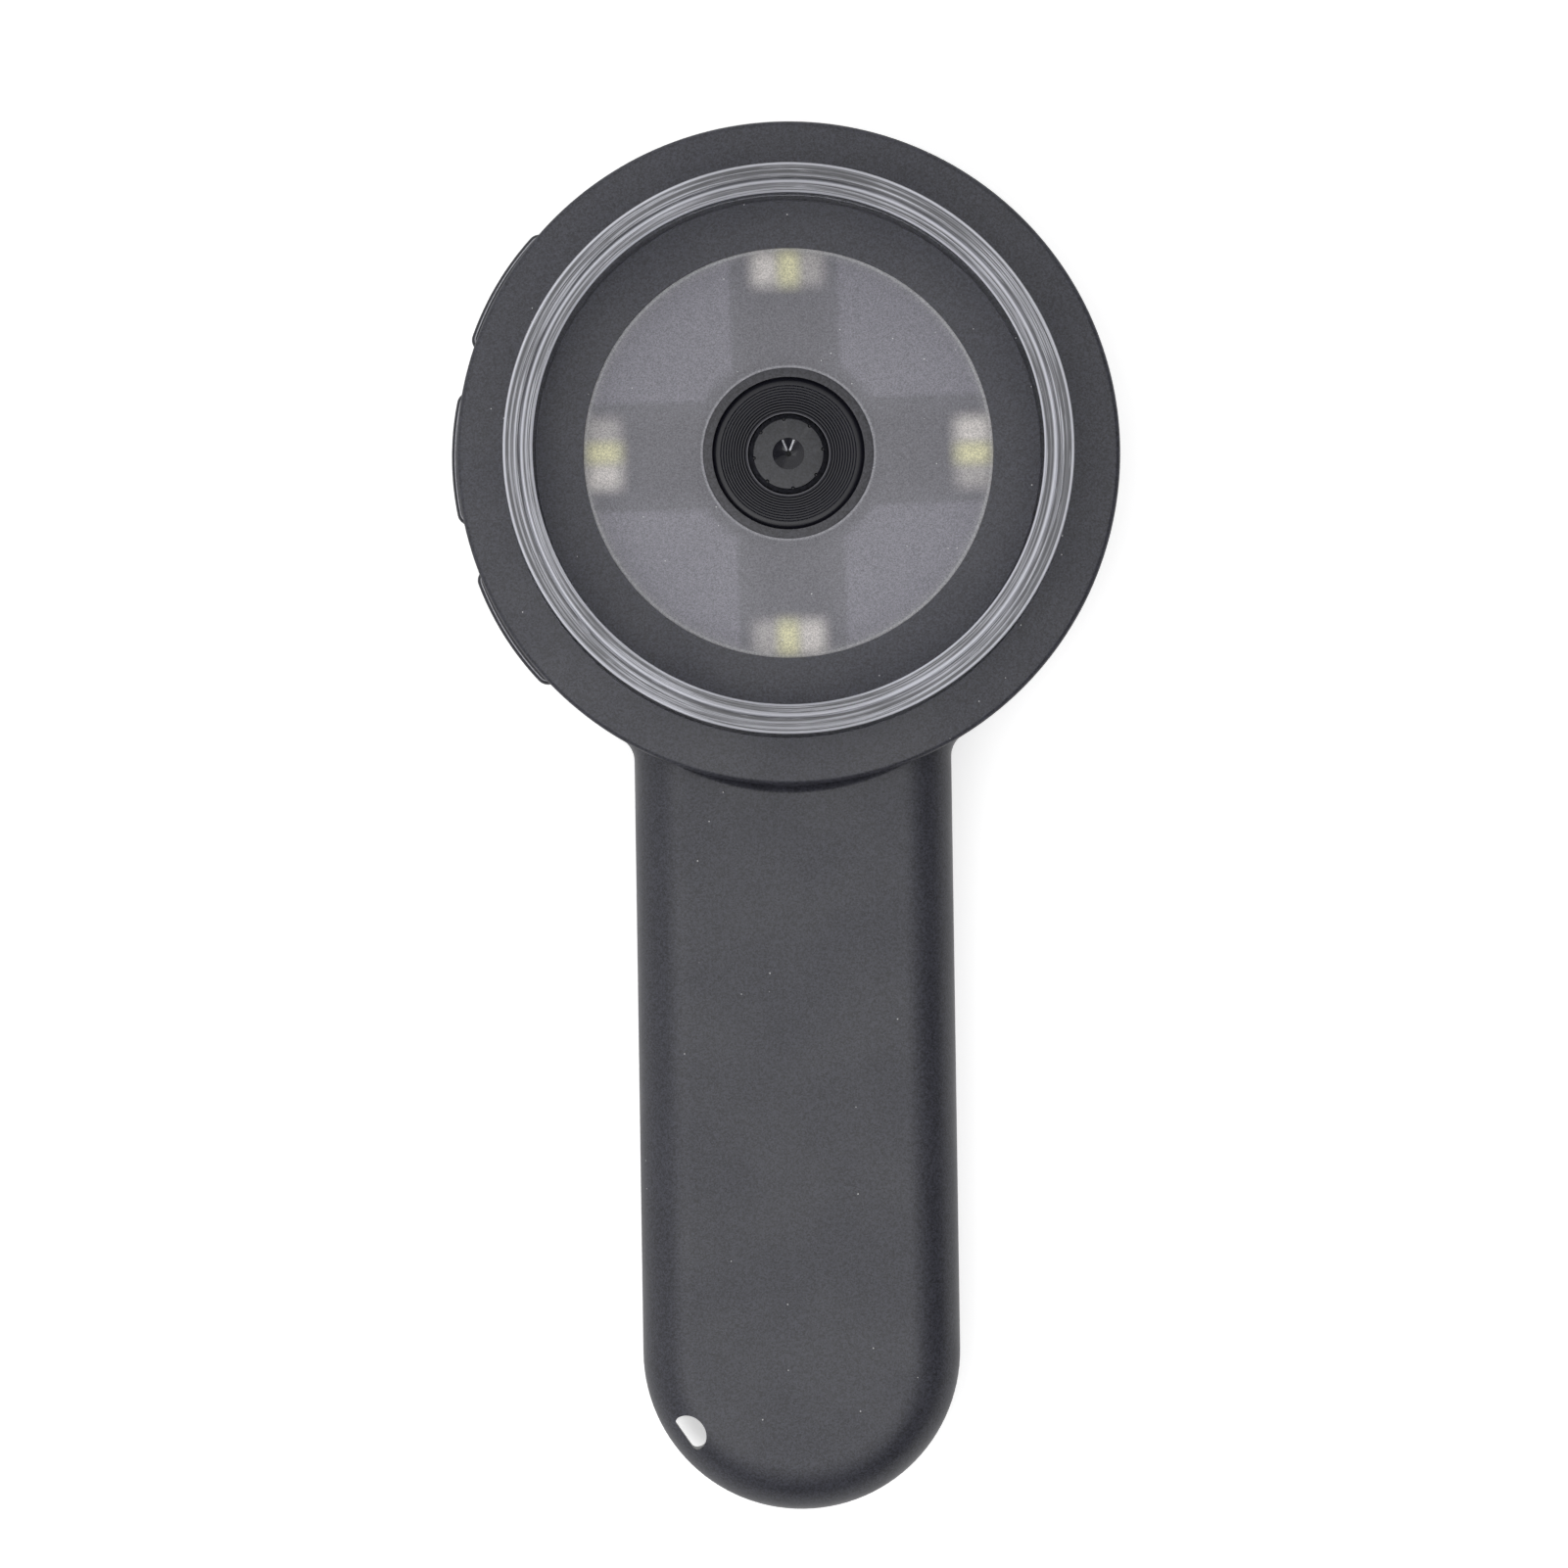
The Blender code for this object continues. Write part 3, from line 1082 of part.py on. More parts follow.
def screws(shop):
    """Board screws under the main board and case screws in the rear shell's counterbores."""
    level = PCB_Z - GAP - BOARD_SCREW_HEAD_HEIGHT
    for index, place in enumerate(board_post_places()):
        screw(shop, f"board_screw_{index + 1}", place, level, BOARD_SCREW_HEAD, BOARD_SCREW_HEAD_HEIGHT,
              BOARD_SCREW_SHANK, BOARD_SCREW_LENGTH, SCREW_DRIVE_WIDTH, SCREW_DRIVE_DEPTH)
    level = CASE_COUNTERBORE_DEPTH - GAP - CASE_SCREW_HEAD_HEIGHT
    for name, x, y in case_post_places():
        screw(shop, f"housing_screw_{name}", (x, y), level, CASE_SCREW_HEAD, CASE_SCREW_HEAD_HEIGHT,
              CASE_SHANK, CASE_SCREW_LENGTH, CASE_DRIVE_WIDTH, CASE_DRIVE_DEPTH)


def screen(shop):
    """Round rear window, gasket, LCD with its frame, flex and connector."""
    window = [(0.0, WINDOW_THICKNESS), (WINDOW_RADIUS, WINDOW_THICKNESS), (WINDOW_RADIUS, WINDOW_EDGE),
              (WINDOW_RADIUS - WINDOW_EDGE, 0.0), (0.0, 0.0)]
    turned("display_window", window, shop.parts, shop.glass, closed=False)
    inner_width = VIEW_WIDTH + GASKET_WIDTH / 2
    inner_height = VIEW_HEIGHT + GASKET_WIDTH / 2
    gasket_outer = rectangle(inner_width + 2 * GASKET_WIDTH, inner_height + 2 * GASKET_WIDTH, VIEW_CORNER)
    gasket_inner = rectangle(inner_width, inner_height, VIEW_CORNER)
    gasket = prism_mesh("lcd_gasket", [gasket_outer, gasket_inner], GASKET_Z, GASKET_Z + GASKET_THICKNESS)
    shop.part("lcd_gasket", gasket, shop.rubber)
    lcd_panel(shop)
    lcd_frame(shop)
    lcd_flex(shop)


def lcd_panel(shop):
    """LCD module: a glass sheet on a slightly larger backlight."""
    glass_size = (LCD_WIDTH - 2 * LCD_GLASS_INSET, LCD_HEIGHT - 2 * LCD_GLASS_INSET, LCD_GLASS)
    mesh = box_mesh("lcd_panel", glass_size, (0.0, 0.0, LCD_Z + LCD_GLASS / 2))
    panel = shop.part("lcd_panel", mesh, shop.chip)
    light_height = LCD_THICKNESS - LCD_GLASS / 2
    light = box_mesh("lcd_backlight", (LCD_WIDTH, LCD_HEIGHT, light_height),
                     (0.0, 0.0, LCD_Z + LCD_THICKNESS - light_height / 2))
    cut(panel, shop.cutter(light), "UNION")
    return panel


def lcd_frame(shop):
    """Frame round the LCD, open where the flex leaves it."""
    outer = rectangle(FRAME_WIDTH, FRAME_HEIGHT, VIEW_CORNER)
    inner = rectangle(LCD_WIDTH + 2 * GAP, LCD_HEIGHT + 2 * GAP, GAP)
    mesh = prism_mesh("lcd_frame", [outer, inner], LCD_Z, LCD_Z + LCD_THICKNESS)
    frame = shop.part("lcd_frame", mesh, shop.gloss)
    size = (FLEX_WIDTH + 2 * FLEX_CLEARANCE, 2 * (FRAME_WALL + CUT_OVERRUN), LCD_THICKNESS + CUT_OVERRUN)
    centre = (0.0, -(FRAME_HEIGHT + CUT_OVERRUN) / 2, LCD_Z + LCD_THICKNESS / 2)
    cut(frame, shop.cutter(box_mesh("frame_gate", size, centre)))
    return frame


def lcd_flex(shop):
    """Film that leaves the LCD, rises through the board's slot and enters its connector."""
    low = LCD_Z + LCD_THICKNESS / 2
    high = SEAT_Z + CONNECTOR_HEIGHT / 2
    bend_y = FLEX_RISE_Y + FLEX_BEND
    end_y = bend_y + FLEX_TAIL
    route = [(-(LCD_HEIGHT / 2 + GAP), low)]
    route += arc((bend_y, low + FLEX_BEND), FLEX_BEND, -math.pi / 2, -math.pi, FILLET_STEPS)
    route += arc((bend_y, high - FLEX_BEND), FLEX_BEND, math.pi, math.pi / 2, FILLET_STEPS)
    route.append((end_y, high))
    mesh = bpy.data.meshes.new("lcd_flex")
    bm = bmesh.new()
    verts = [bm.verts.new((-FLEX_WIDTH / 2, y, z)) for y, z in route]
    edges = [bm.edges.new(pair) for pair in zip(verts, verts[1:])]
    swept = bmesh.ops.extrude_edge_only(bm, edges=edges)
    moved = [item for item in swept["geom"] if isinstance(item, bmesh.types.BMVert)]
    bmesh.ops.translate(bm, vec=(FLEX_WIDTH, 0.0, 0.0), verts=moved)
    bm.to_mesh(mesh)
    bm.free()
    flex = shop.part("lcd_flex", mesh, shop.amber)
    film = flex.modifiers.new("film", "SOLIDIFY")
    film.thickness = FLEX_THICKNESS
    film.offset = 0.0
    size = (FLEX_WIDTH + CONNECTOR_DEPTH / 2, CONNECTOR_DEPTH, CONNECTOR_HEIGHT)
    centre = (0.0, end_y + GAP + CONNECTOR_DEPTH / 2, SEAT_Z + CONNECTOR_HEIGHT / 2)
    shop.part("flex_connector", box_mesh("flex_connector", size, centre), shop.white)


def arc_block(name, inner, outer, chord, height):
    """A curved block across the +X direction, its ends parallel to that direction."""
    outer_angle = math.asin(chord / 2 / outer)
    inner_angle = math.asin(chord / 2 / inner)
    outline = arc((0.0, 0.0), outer, -outer_angle, outer_angle, 2 * FILLET_STEPS)
    outline += arc((0.0, 0.0), inner, inner_angle, -inner_angle, 2 * FILLET_STEPS)
    return prism_mesh(name, [outline], KEY_Z - height / 2, KEY_Z + height / 2)


def face_edges(radius):
    """A test for the sharp edges that bound a curved block's outer face."""
    def chooses(edge):
        far = all(math.hypot(vert.co.x, vert.co.y) > radius for vert in edge.verts)
        return far and sharp_edges(edge)
    return chooses


def side_key(shop, index):
    """One arc-shaped key: a cap through the wall, a flange behind it and a nub on the switch."""
    name = KEY_NAMES[index]
    angle = key_angle(index)
    cap = arc_block("key_" + name, FLANGE_INNER + KEY_FLANGE_THICKNESS / 2, KEY_OUTER, KEY_CHORD, KEY_HEIGHT)
    round_edges(cap, face_edges(HEAD_RADIUS), KEY_EDGE, FINE_SEGMENTS)
    move(cap, turn=angle)
    key = shop.part("key_" + name, cap, shop.black)
    chord = KEY_CHORD + 2 * KEY_FLANGE
    flange = arc_block("flange_" + name, FLANGE_INNER, FLANGE_OUTER, chord, KEY_HEIGHT + 2 * KEY_FLANGE)
    move(flange, turn=angle)
    cut(key, shop.cutter(flange), "UNION")
    reach = KEY_NUB + KEY_FLANGE_THICKNESS / 2
    size = (reach, KEY_NUB_WIDTH, KEY_NUB_WIDTH)
    nub = box_mesh("nub_" + name, size, (NUB_INNER + reach / 2, 0.0, KEY_Z), angle)
    cut(key, shop.cutter(nub), "UNION")
    set_origin(key, (KEY_OUTER * math.cos(angle), KEY_OUTER * math.sin(angle), KEY_Z))
    return key


def set_origin(piece, point):
    """Moves an object's origin to a point and leaves its mesh where it is."""
    piece.data.transform(Matrix.Translation(-Vector(point)))
    piece.location = point


def side_switch(shop, index):
    """Tact switch body on the main board, with its plunger in a bore."""
    name = KEY_NAMES[index]
    angle = key_angle(index)
    middle = (SWITCH_INNER + SWITCH_OUTER) / 2
    size = (SWITCH_DEPTH, SWITCH_WIDTH, SWITCH_HEIGHT)
    mesh = box_mesh("switch_" + name, size, (middle, 0.0, KEY_Z), angle)
    body = shop.part("switch_" + name, mesh, shop.steel)
    bore_depth = PLUNGER_DEPTH + KEY_TRAVEL + GAP
    bore = plunger_mesh("switch_bore_" + name, PLUNGER_RADIUS + FINE_GAP, SWITCH_OUTER - bore_depth,
                        SWITCH_OUTER + CUT_OVERRUN, angle)
    cut(body, shop.cutter(bore))
    stem = plunger_mesh("plunger_" + name, PLUNGER_RADIUS, SWITCH_OUTER - PLUNGER_DEPTH, PLUNGER_TIP, angle)
    plunger = shop.part("plunger_" + name, stem, shop.white)
    set_origin(plunger, (PLUNGER_TIP * math.cos(angle), PLUNGER_TIP * math.sin(angle), KEY_Z))


def plunger_mesh(name, radius, start, end, angle):
    """A round pin that lies along the radius at an angle."""
    mesh = rod_mesh(name, radius, 0.0, end - start, steps=PIN_STEPS)
    return facing_out(mesh, start, angle, KEY_Z)


def usb_socket(shop):
    """Charging socket: an oval steel shell with a contact tongue."""
    start = HEAD_RADIUS - USB_SETBACK - USB_DEPTH
    level = SEAT_Z + USB_HEIGHT / 2
    shell = prism_mesh("usb_socket", [stadium(USB_WIDTH, USB_HEIGHT)], 0.0, USB_DEPTH)
    socket = shop.part("usb_socket", facing_out(shell, start, 0.0, level), shop.steel)
    inner = [stadium(USB_WIDTH - 2 * USB_SHELL, USB_HEIGHT - 2 * USB_SHELL)]
    pocket = prism_mesh("usb_pocket", inner, USB_DEPTH - USB_POCKET, USB_DEPTH + CUT_OVERRUN)
    cut(socket, shop.cutter(facing_out(pocket, start, 0.0, level)))
    reach = USB_TONGUE_LENGTH + JOIN_DEPTH
    size = (reach, USB_TONGUE_WIDTH, USB_TONGUE_HEIGHT)
    root = start + USB_DEPTH - USB_POCKET - JOIN_DEPTH
    cut(socket, shop.cutter(box_mesh("usb_tongue", size, (root + reach / 2, 0.0, level))), "UNION")
    return socket


def card_socket(shop):
    """Memory card socket: a flat steel shell with a slot."""
    start = HEAD_RADIUS - CARD_SETBACK - CARD_DEPTH - (HEAD_RADIUS - edge_depth(CARD_WIDTH))
    size = (CARD_DEPTH, CARD_WIDTH, CARD_HEIGHT)
    centre = (start + CARD_DEPTH / 2, 0.0, SEAT_Z + CARD_HEIGHT / 2)
    socket = shop.part("card_socket", box_mesh("card_socket", size, centre, CARD_ANGLE), shop.steel)
    length = CARD_POCKET + CUT_OVERRUN
    room = (length, CARD_WIDTH - 4 * CARD_SHELL, CARD_HEIGHT - 2 * CARD_SHELL)
    slot_centre = (start + CARD_DEPTH - CARD_POCKET + length / 2, 0.0, SEAT_Z + CARD_HEIGHT / 2)
    cut(socket, shop.cutter(box_mesh("card_slot", room, slot_centre, CARD_ANGLE)))
    return socket


def edge_depth(width):
    """Distance from the lens axis to the rim's chord that is as wide as a socket."""
    return math.sqrt(HEAD_RADIUS ** 2 - (width / 2) ** 2)


def battery(shop):
    """Flat cell on its foam pad in the handle."""
    middle = BATTERY_TOP_Y - BATTERY_LENGTH / 2
    size = (BATTERY_WIDTH, BATTERY_LENGTH, BATTERY_TOP - BATTERY_Z)
    centre = (0.0, middle, (BATTERY_Z + BATTERY_TOP) / 2)
    cell = box_mesh("battery_cell", size, centre, rounding=BATTERY_ROUND)
    shop.part("battery_cell", cell, shop.cell)
    pad_size = (BATTERY_WIDTH - 2 * PAD_MARGIN, BATTERY_LENGTH - 2 * PAD_MARGIN, PAD_THICKNESS)
    pad = box_mesh("battery_pad", pad_size, (0.0, middle, REAR_WALL + GAP + PAD_THICKNESS / 2))
    shop.part("battery_pad", pad, shop.rubber)


def header_and_plug(shop):
    """Battery header on the main board with the plug in its mouth."""
    level = SEAT_Z + HEADER_HEIGHT / 2
    size = (HEADER_WIDTH, HEADER_DEPTH, HEADER_HEIGHT)
    block = box_mesh("battery_header", size, (0.0, HEADER_Y, level))
    header = shop.part("battery_header", block, shop.white)
    depth = HEADER_DEPTH - HEADER_WALL
    room = (HEADER_WIDTH - 2 * HEADER_WALL, depth + CUT_OVERRUN, HEADER_HEIGHT - 2 * HEADER_WALL)
    mouth_y = HEADER_Y - HEADER_DEPTH / 2
    mouth = box_mesh("header_mouth", room, (0.0, mouth_y + (depth - CUT_OVERRUN) / 2, level))
    cut(header, shop.cutter(mouth))
    plug_size = (room[0] - 2 * FINE_GAP, PLUG_LENGTH, room[2] - 2 * FINE_GAP)
    plug_y = mouth_y + depth - GAP - PLUG_LENGTH / 2
    shop.part("battery_plug", box_mesh("battery_plug", plug_size, (0.0, plug_y, level)), shop.pale)
    return plug_y - PLUG_LENGTH / 2, level


def lead(shop, name, start, end, axis, radius, material):
    """An insulated wire between two points that leaves both along one axis."""
    curve = bpy.data.curves.new(name, "CURVE")
    curve.dimensions = "3D"
    curve.bevel_depth = radius
    curve.bevel_resolution = 2
    curve.use_fill_caps = True
    spline = curve.splines.new("POLY")
    spline.points.add(LEAD_POINTS - 1)
    for index, point in enumerate(spline.points):
        share = index / (LEAD_POINTS - 1)
        ease = (1 - math.cos(math.pi * share)) / 2
        place = [low + (high - low) * ease for low, high in zip(start, end)]
        place[axis] = start[axis] + (end[axis] - start[axis]) * share
        point.co = (*place, 1.0)
    return shop.part(name, mesh_of_curve(name, curve), material)


def leads(shop, plug_end, plug_level):
    """Battery leads from the plug to the cell, and lamp leads from the main board to the lamp board."""
    cell_level = (BATTERY_Z + BATTERY_TOP) / 2
    for side, name, material in ((-1, "red", shop.red), (1, "black", shop.dark)):
        start = (side * BATTERY_LEAD_SPACING / 2, plug_end - GAP, plug_level)
        end = (side * BATTERY_TAB_SPACING / 2, BATTERY_TOP_Y + GAP, cell_level)
        lead(shop, "battery_lead_" + name, start, end, 1, BATTERY_LEAD_RADIUS, material)
        foot = (LED_LEAD_X, side * LED_LEAD_SPACING / 2, SEAT_Z)
        head = (LED_LEAD_X + LED_LEAD_BOW, side * LED_LEAD_SPACING / 2, LAMP_BOARD_Z - GAP)
        lead(shop, "led_lead_" + name, foot, head, 2, LED_LEAD_RADIUS, material)


def main():
    """Builds the magnifier, one sub-part at a time."""
    clear_scene()
    shop = Workshop()
    front_shell(shop)
    rear_shell(shop)
    clear_ring(shop)
    diffuser(shop)
    light_tray(shop)
    led_board(shop)
    leds(shop)
    lens_funnel(shop)
    lens_barrel(shop)
    lenses(shop)
    camera_base(shop)
    main_board(shop)
    chips(shop)
    screws(shop)
    screen(shop)
    for index in range(len(KEY_NAMES)):
        side_key(shop, index)
        side_switch(shop, index)
    usb_socket(shop)
    card_socket(shop)
    battery(shop)
    plug_end, plug_level = header_and_plug(shop)
    leads(shop, plug_end, plug_level)


main()
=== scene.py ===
"""Looks of a handheld digital magnifier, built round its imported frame.

The object lies on its back, as its frame does: the lens axis is +Z through the origin, the handle runs
along -Y, the three side keys are on -X and the rear screen is in the plane z = 0. All sizes are in metres.
"""

import math

import bmesh
import bpy
from bpy.props import FloatProperty, FloatVectorProperty, IntProperty, PointerProperty
from mathutils import Matrix, Vector


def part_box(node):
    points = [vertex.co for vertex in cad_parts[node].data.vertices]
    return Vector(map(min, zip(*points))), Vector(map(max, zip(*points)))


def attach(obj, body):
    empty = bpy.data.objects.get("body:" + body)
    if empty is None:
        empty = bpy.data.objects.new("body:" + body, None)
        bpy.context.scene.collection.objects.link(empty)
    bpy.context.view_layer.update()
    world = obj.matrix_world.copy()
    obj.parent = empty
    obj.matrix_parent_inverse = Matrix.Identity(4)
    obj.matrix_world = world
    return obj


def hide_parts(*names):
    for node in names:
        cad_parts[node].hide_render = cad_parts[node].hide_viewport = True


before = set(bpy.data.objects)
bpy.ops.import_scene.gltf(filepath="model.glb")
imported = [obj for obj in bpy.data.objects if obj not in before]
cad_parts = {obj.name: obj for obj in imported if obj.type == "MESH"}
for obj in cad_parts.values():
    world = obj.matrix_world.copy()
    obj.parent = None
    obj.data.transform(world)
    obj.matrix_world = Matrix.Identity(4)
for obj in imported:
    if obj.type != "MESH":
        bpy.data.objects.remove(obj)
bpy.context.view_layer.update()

bl_info = {
    "name": "Handheld digital magnifier",
    "version": (1, 0, 0),
    "blender": (4, 5, 0),
    "location": "3D View > Sidebar > Magnifier",
    "description": "Builds a magnifier: case, clear ring, lamp window, lens, keys, screen, sockets and stage",
    "category": "Object",
}

MM = 0.001
WELD = 0.000001
GAP = 0.3 * MM
OVERRUN = 1.0 * MM
SMOOTH_TURN = math.radians(32.0)
EDGE_TURN = math.radians(50.0)
FULL_TURN = 2 * math.pi

# What the frame says
HEAD_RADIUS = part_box("front_shell")[1].x
HEAD_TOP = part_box("front_shell")[1].z
RING_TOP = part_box("clear_ring")[1].z
RING_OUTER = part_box("clear_ring")[1].x
DIFFUSER_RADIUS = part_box("diffuser")[1].x
DIFFUSER_LOW, DIFFUSER_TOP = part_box("diffuser")[0].z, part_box("diffuser")[1].z
WINDOW_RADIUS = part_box("display_window")[1].x
WINDOW_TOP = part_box("display_window")[1].z
SEAT_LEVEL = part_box("usb_socket")[0].z
PARTING = (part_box("key_middle")[0].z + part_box("key_middle")[1].z) / 2
BARREL_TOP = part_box("lens_barrel")[1].z
BARREL_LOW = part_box("lens_barrel")[0].z

# Levels and plan sizes inside the case
WALL = 1.8 * MM
FACE_WALL = 2.6 * MM
REAR_WALL = 2.2 * MM
CEILING = HEAD_TOP - FACE_WALL
RABBET = 1.4 * MM
RABBET_INSET = WALL / 2
HEAD_INSIDE = HEAD_RADIUS - WALL
# Painted reflection lines of the ring's face: distance from its outside in mm, half width in mm, paleness,
# fading or not
RING_REFLECTION_LINES = ((3.00, 0.26, 0.90, False), (2.42, 0.20, 0.85, True), (1.95, 0.32, 1.0, False),
              (1.25, 0.22, 0.95, True), (0.72, 0.20, 0.75, True), (0.16, 0.26, 1.0, False))
LANYARD_TURN = math.radians(214.4)
LANYARD_FROM_END = 14.0 * MM
KEY_TURNS = {"upper": math.radians(148.5), "middle": math.pi, "lower": math.radians(211.5)}
KEY_CAP_SHIFTS = {"upper": (0.0, 0.28 * MM), "middle": (math.radians(-0.6), 0.0),
                  "lower": (math.radians(-0.3), -0.08 * MM)}
CARD_TURN = math.radians(-31.5)
BOARD_SKEW = math.radians(-0.8)
EYE_SIDES = 8
EYE_SLOPE = math.radians(30.0)
RING_SEAT = 2.8 * MM
BEZEL_RADIUS = RING_OUTER - RING_SEAT - 5.30 * MM
WINDOW_FACE = DIFFUSER_TOP + 0.50 * MM
COLLAR_FACE = WINDOW_FACE - 0.05 * MM
SCREW_PLACES = {"left": (-10.5 * MM, -37.2 * MM), "right": (10.5 * MM, -37.2 * MM),
                "end": (4.0 * MM, -101.0 * MM)}
BOARD_SCREWS = tuple(f"board_screw_{number}" for number in range(1, 5))

# Ribs and posts, and how far they run into their wall
RIB = 1.2 * MM
ROOT = 0.5 * MM
BOARD_POST, BOARD_PILOT, BOARD_PILOT_DEPTH = 2.2 * MM, 1.1 * MM, 5.0 * MM
CASE_POST, CASE_PILOT, CASE_PILOT_DEPTH = 2.5 * MM, 1.3 * MM, 5.5 * MM
CASE_BOSS, SCREW_BORE = 2.95 * MM, 2.1 * MM

# Half width, half length and spread towards the back of the lanyard hole
LANYARD_HALF_WIDTH, LANYARD_HALF_LENGTH, LANYARD_SPREAD = 1.1 * MM, 1.95 * MM, 1.0 * MM

# Mouths of the sockets, and the sockets' middle above their seat
USB_MOUTH, USB_MIDDLE = (9.5 * MM, 3.8 * MM), 1.6 * MM
CARD_MOUTH, CARD_MIDDLE = (14.6 * MM, 2.2 * MM), 0.8 * MM

# Upward tilt of the faces that carry the painted highlight line on a key's rounded edge
HIGHLIGHT_TILT = (0.83, 0.92)
ACRYLIC_IOR = 1.49

# Soft lamps: name, place, point faced, size and level
OBJECT_MIDDLE = (0, -36 * MM, 10 * MM)
SOFTBOXES = (("overhead_softbox", (-0.25, -0.62, 1.25), (-0.25, -0.62, 0.0), (1.7, 2.0), 0.68),
             ("left_softbox", (-0.36, -0.38, 1.10), OBJECT_MIDDLE, (0.36, 1.0), 1.35),
             ("right_softbox", (0.30, -0.44, 1.10), OBJECT_MIDDLE, (0.30, 0.7), 1.15))


class CaseSettings(bpy.types.PropertyGroup):
    """Sizes and finish of the moulded case"""

    half_width: FloatProperty(name="Handle half width", description="Half the width of the handle",
                              default=16.9 * MM, unit="LENGTH")
    reach: FloatProperty(name="Handle reach", description="Distance from the lens axis to the end's centre",
                         default=-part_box("front_shell")[0].y - 16.9 * MM, unit="LENGTH")
    handle_top: FloatProperty(name="Handle height", description="Level of the handle's front face",
                              default=16.5 * MM, unit="LENGTH")
    front_round: FloatProperty(name="Front rounding", description="Radius of the handle's front edge",
                               default=5.5 * MM, unit="LENGTH")
    back_round: FloatProperty(name="Back rounding", description="Radius of the back edge all round",
                              default=3.5 * MM, unit="LENGTH")
    neck_fillet: FloatProperty(name="Neck fillet", description="Radius of the hollow corners at the neck",
                               default=2.7 * MM, unit="LENGTH")
    neck_groove: FloatProperty(name="Neck groove", description="Depth of the groove at the head's foot",
                               default=0.36 * MM, unit="LENGTH")
    head_edge: FloatProperty(name="Head edge", description="Radius of the head's front edge",
                             default=0.55 * MM, unit="LENGTH")
    crown: FloatProperty(name="Flange crown", description="Fall of the flange from the ring to the rim",
                         default=0.38 * MM, unit="LENGTH")
    parting_edge: FloatProperty(name="Parting edge", description="Chamfer on both sides of the parting line",
                                default=0.12 * MM, unit="LENGTH")
    head_steps: IntProperty(name="Head steps", description="Facets round the head", default=224, min=24)
    colour: FloatVectorProperty(name="Case colour", description="Colour of the moulded case", subtype="COLOR",
                                default=(0.0300, 0.0305, 0.0405), min=0.0, max=1.0)


class RingSettings(bpy.types.PropertyGroup):
    """Sizes and finish of the clear stand-off ring"""

    width: FloatProperty(name="Ring width", description="Wall of the clear ring at its foot",
                         default=2.5 * MM, unit="LENGTH")
    lean: FloatProperty(name="Ring lean", description="How much thicker the ring is at its front",
                        default=0.6 * MM, unit="LENGTH")
    step: FloatProperty(name="Face step", description="Fall of the ring's inner face below its outer face",
                        default=0.30 * MM, unit="LENGTH")
    # The turned lines in this description are painted reflection lines.
    dark: FloatProperty(name="Dark bands", description="Paleness of the clear bands between the turned lines",
                        default=0.15, min=0.0, max=1.0)
    colour: FloatVectorProperty(name="Ring tint", description="Tint of the clear acrylic", subtype="COLOR",
                                default=(0.88, 0.89, 0.98), min=0.0, max=1.0)


class LightSettings(bpy.types.PropertyGroup):
    """Sizes and colours of the frosted window over the lamps"""

    hole: FloatProperty(name="Window hole", description="Radius of the hole round the lens collar",
                        default=9.0 * MM, unit="LENGTH")
    arm_width: FloatProperty(name="Arm width", description="Width of the lamp board's arms behind the window",
                             default=11.4 * MM, unit="LENGTH")
    lamp_radius: FloatProperty(name="Lamp circle", description="Distance of the lamps from the lens axis",
                               default=19.35 * MM, unit="LENGTH")
    colour: FloatVectorProperty(name="Window colour", description="Frosted window between the arms",
                                subtype="COLOR", default=(0.210, 0.206, 0.234), min=0.0, max=1.0)
    arm_colour: FloatVectorProperty(name="Arm colour", description="Frosted window over the arms",
                                    subtype="COLOR", default=(0.163, 0.161, 0.180), min=0.0, max=1.0)
    lamp_colour: FloatVectorProperty(name="Lamp colour", description="White lamp ends behind the window",
                                     subtype="COLOR", default=(0.56, 0.53, 0.51), min=0.0, max=1.0)
    phosphor_colour: FloatVectorProperty(name="Phosphor colour", description="Yellow middle of a lamp",
                                         subtype="COLOR", default=(0.60, 0.58, 0.38), min=0.0, max=1.0)


class LensSettings(bpy.types.PropertyGroup):
    """Sizes and finish of the lens funnel and the barrel"""

    collar: FloatProperty(name="Collar radius", description="Outer radius of the funnel's collar",
                          default=8.7 * MM, unit="LENGTH")
    ridges: IntProperty(name="Ridges", description="Fine steps in the funnel's dish", default=10, min=1)
    barrel: FloatProperty(name="Barrel radius", description="Radius of the lens barrel",
                          default=3.76 * MM, unit="LENGTH")
    eye: FloatProperty(name="Eye radius", description="Radius of the faceted cone in the barrel's face",
                       default=1.68 * MM, unit="LENGTH")
    pinhole: FloatProperty(name="Pinhole radius", description="Radius of the opening at the cone's tip",
                           default=0.30 * MM, unit="LENGTH")
    notches: IntProperty(name="Notches", description="Grip notches round the barrel's face", default=8, min=1)
    collar_colour: FloatVectorProperty(name="Collar colour", description="Matt collar and lip of the funnel",
                                       subtype="COLOR", default=(0.0290, 0.0285, 0.0350), min=0.0, max=1.0)
    colour: FloatVectorProperty(name="Lens plastic", description="Colour of the funnel and the barrel",
                                subtype="COLOR", default=(0.0060, 0.0060, 0.0105), min=0.0, max=1.0)
    face_colour: FloatVectorProperty(name="Barrel face", description="Colour of the barrel's matt face",
                                     subtype="COLOR", default=(0.0150, 0.0155, 0.0200), min=0.0, max=1.0)
    cone_colour: FloatVectorProperty(name="Cone colour", description="Colour of the barrel's polished cone",
                                     subtype="COLOR", default=(0.0110, 0.0110, 0.0155), min=0.0, max=1.0)


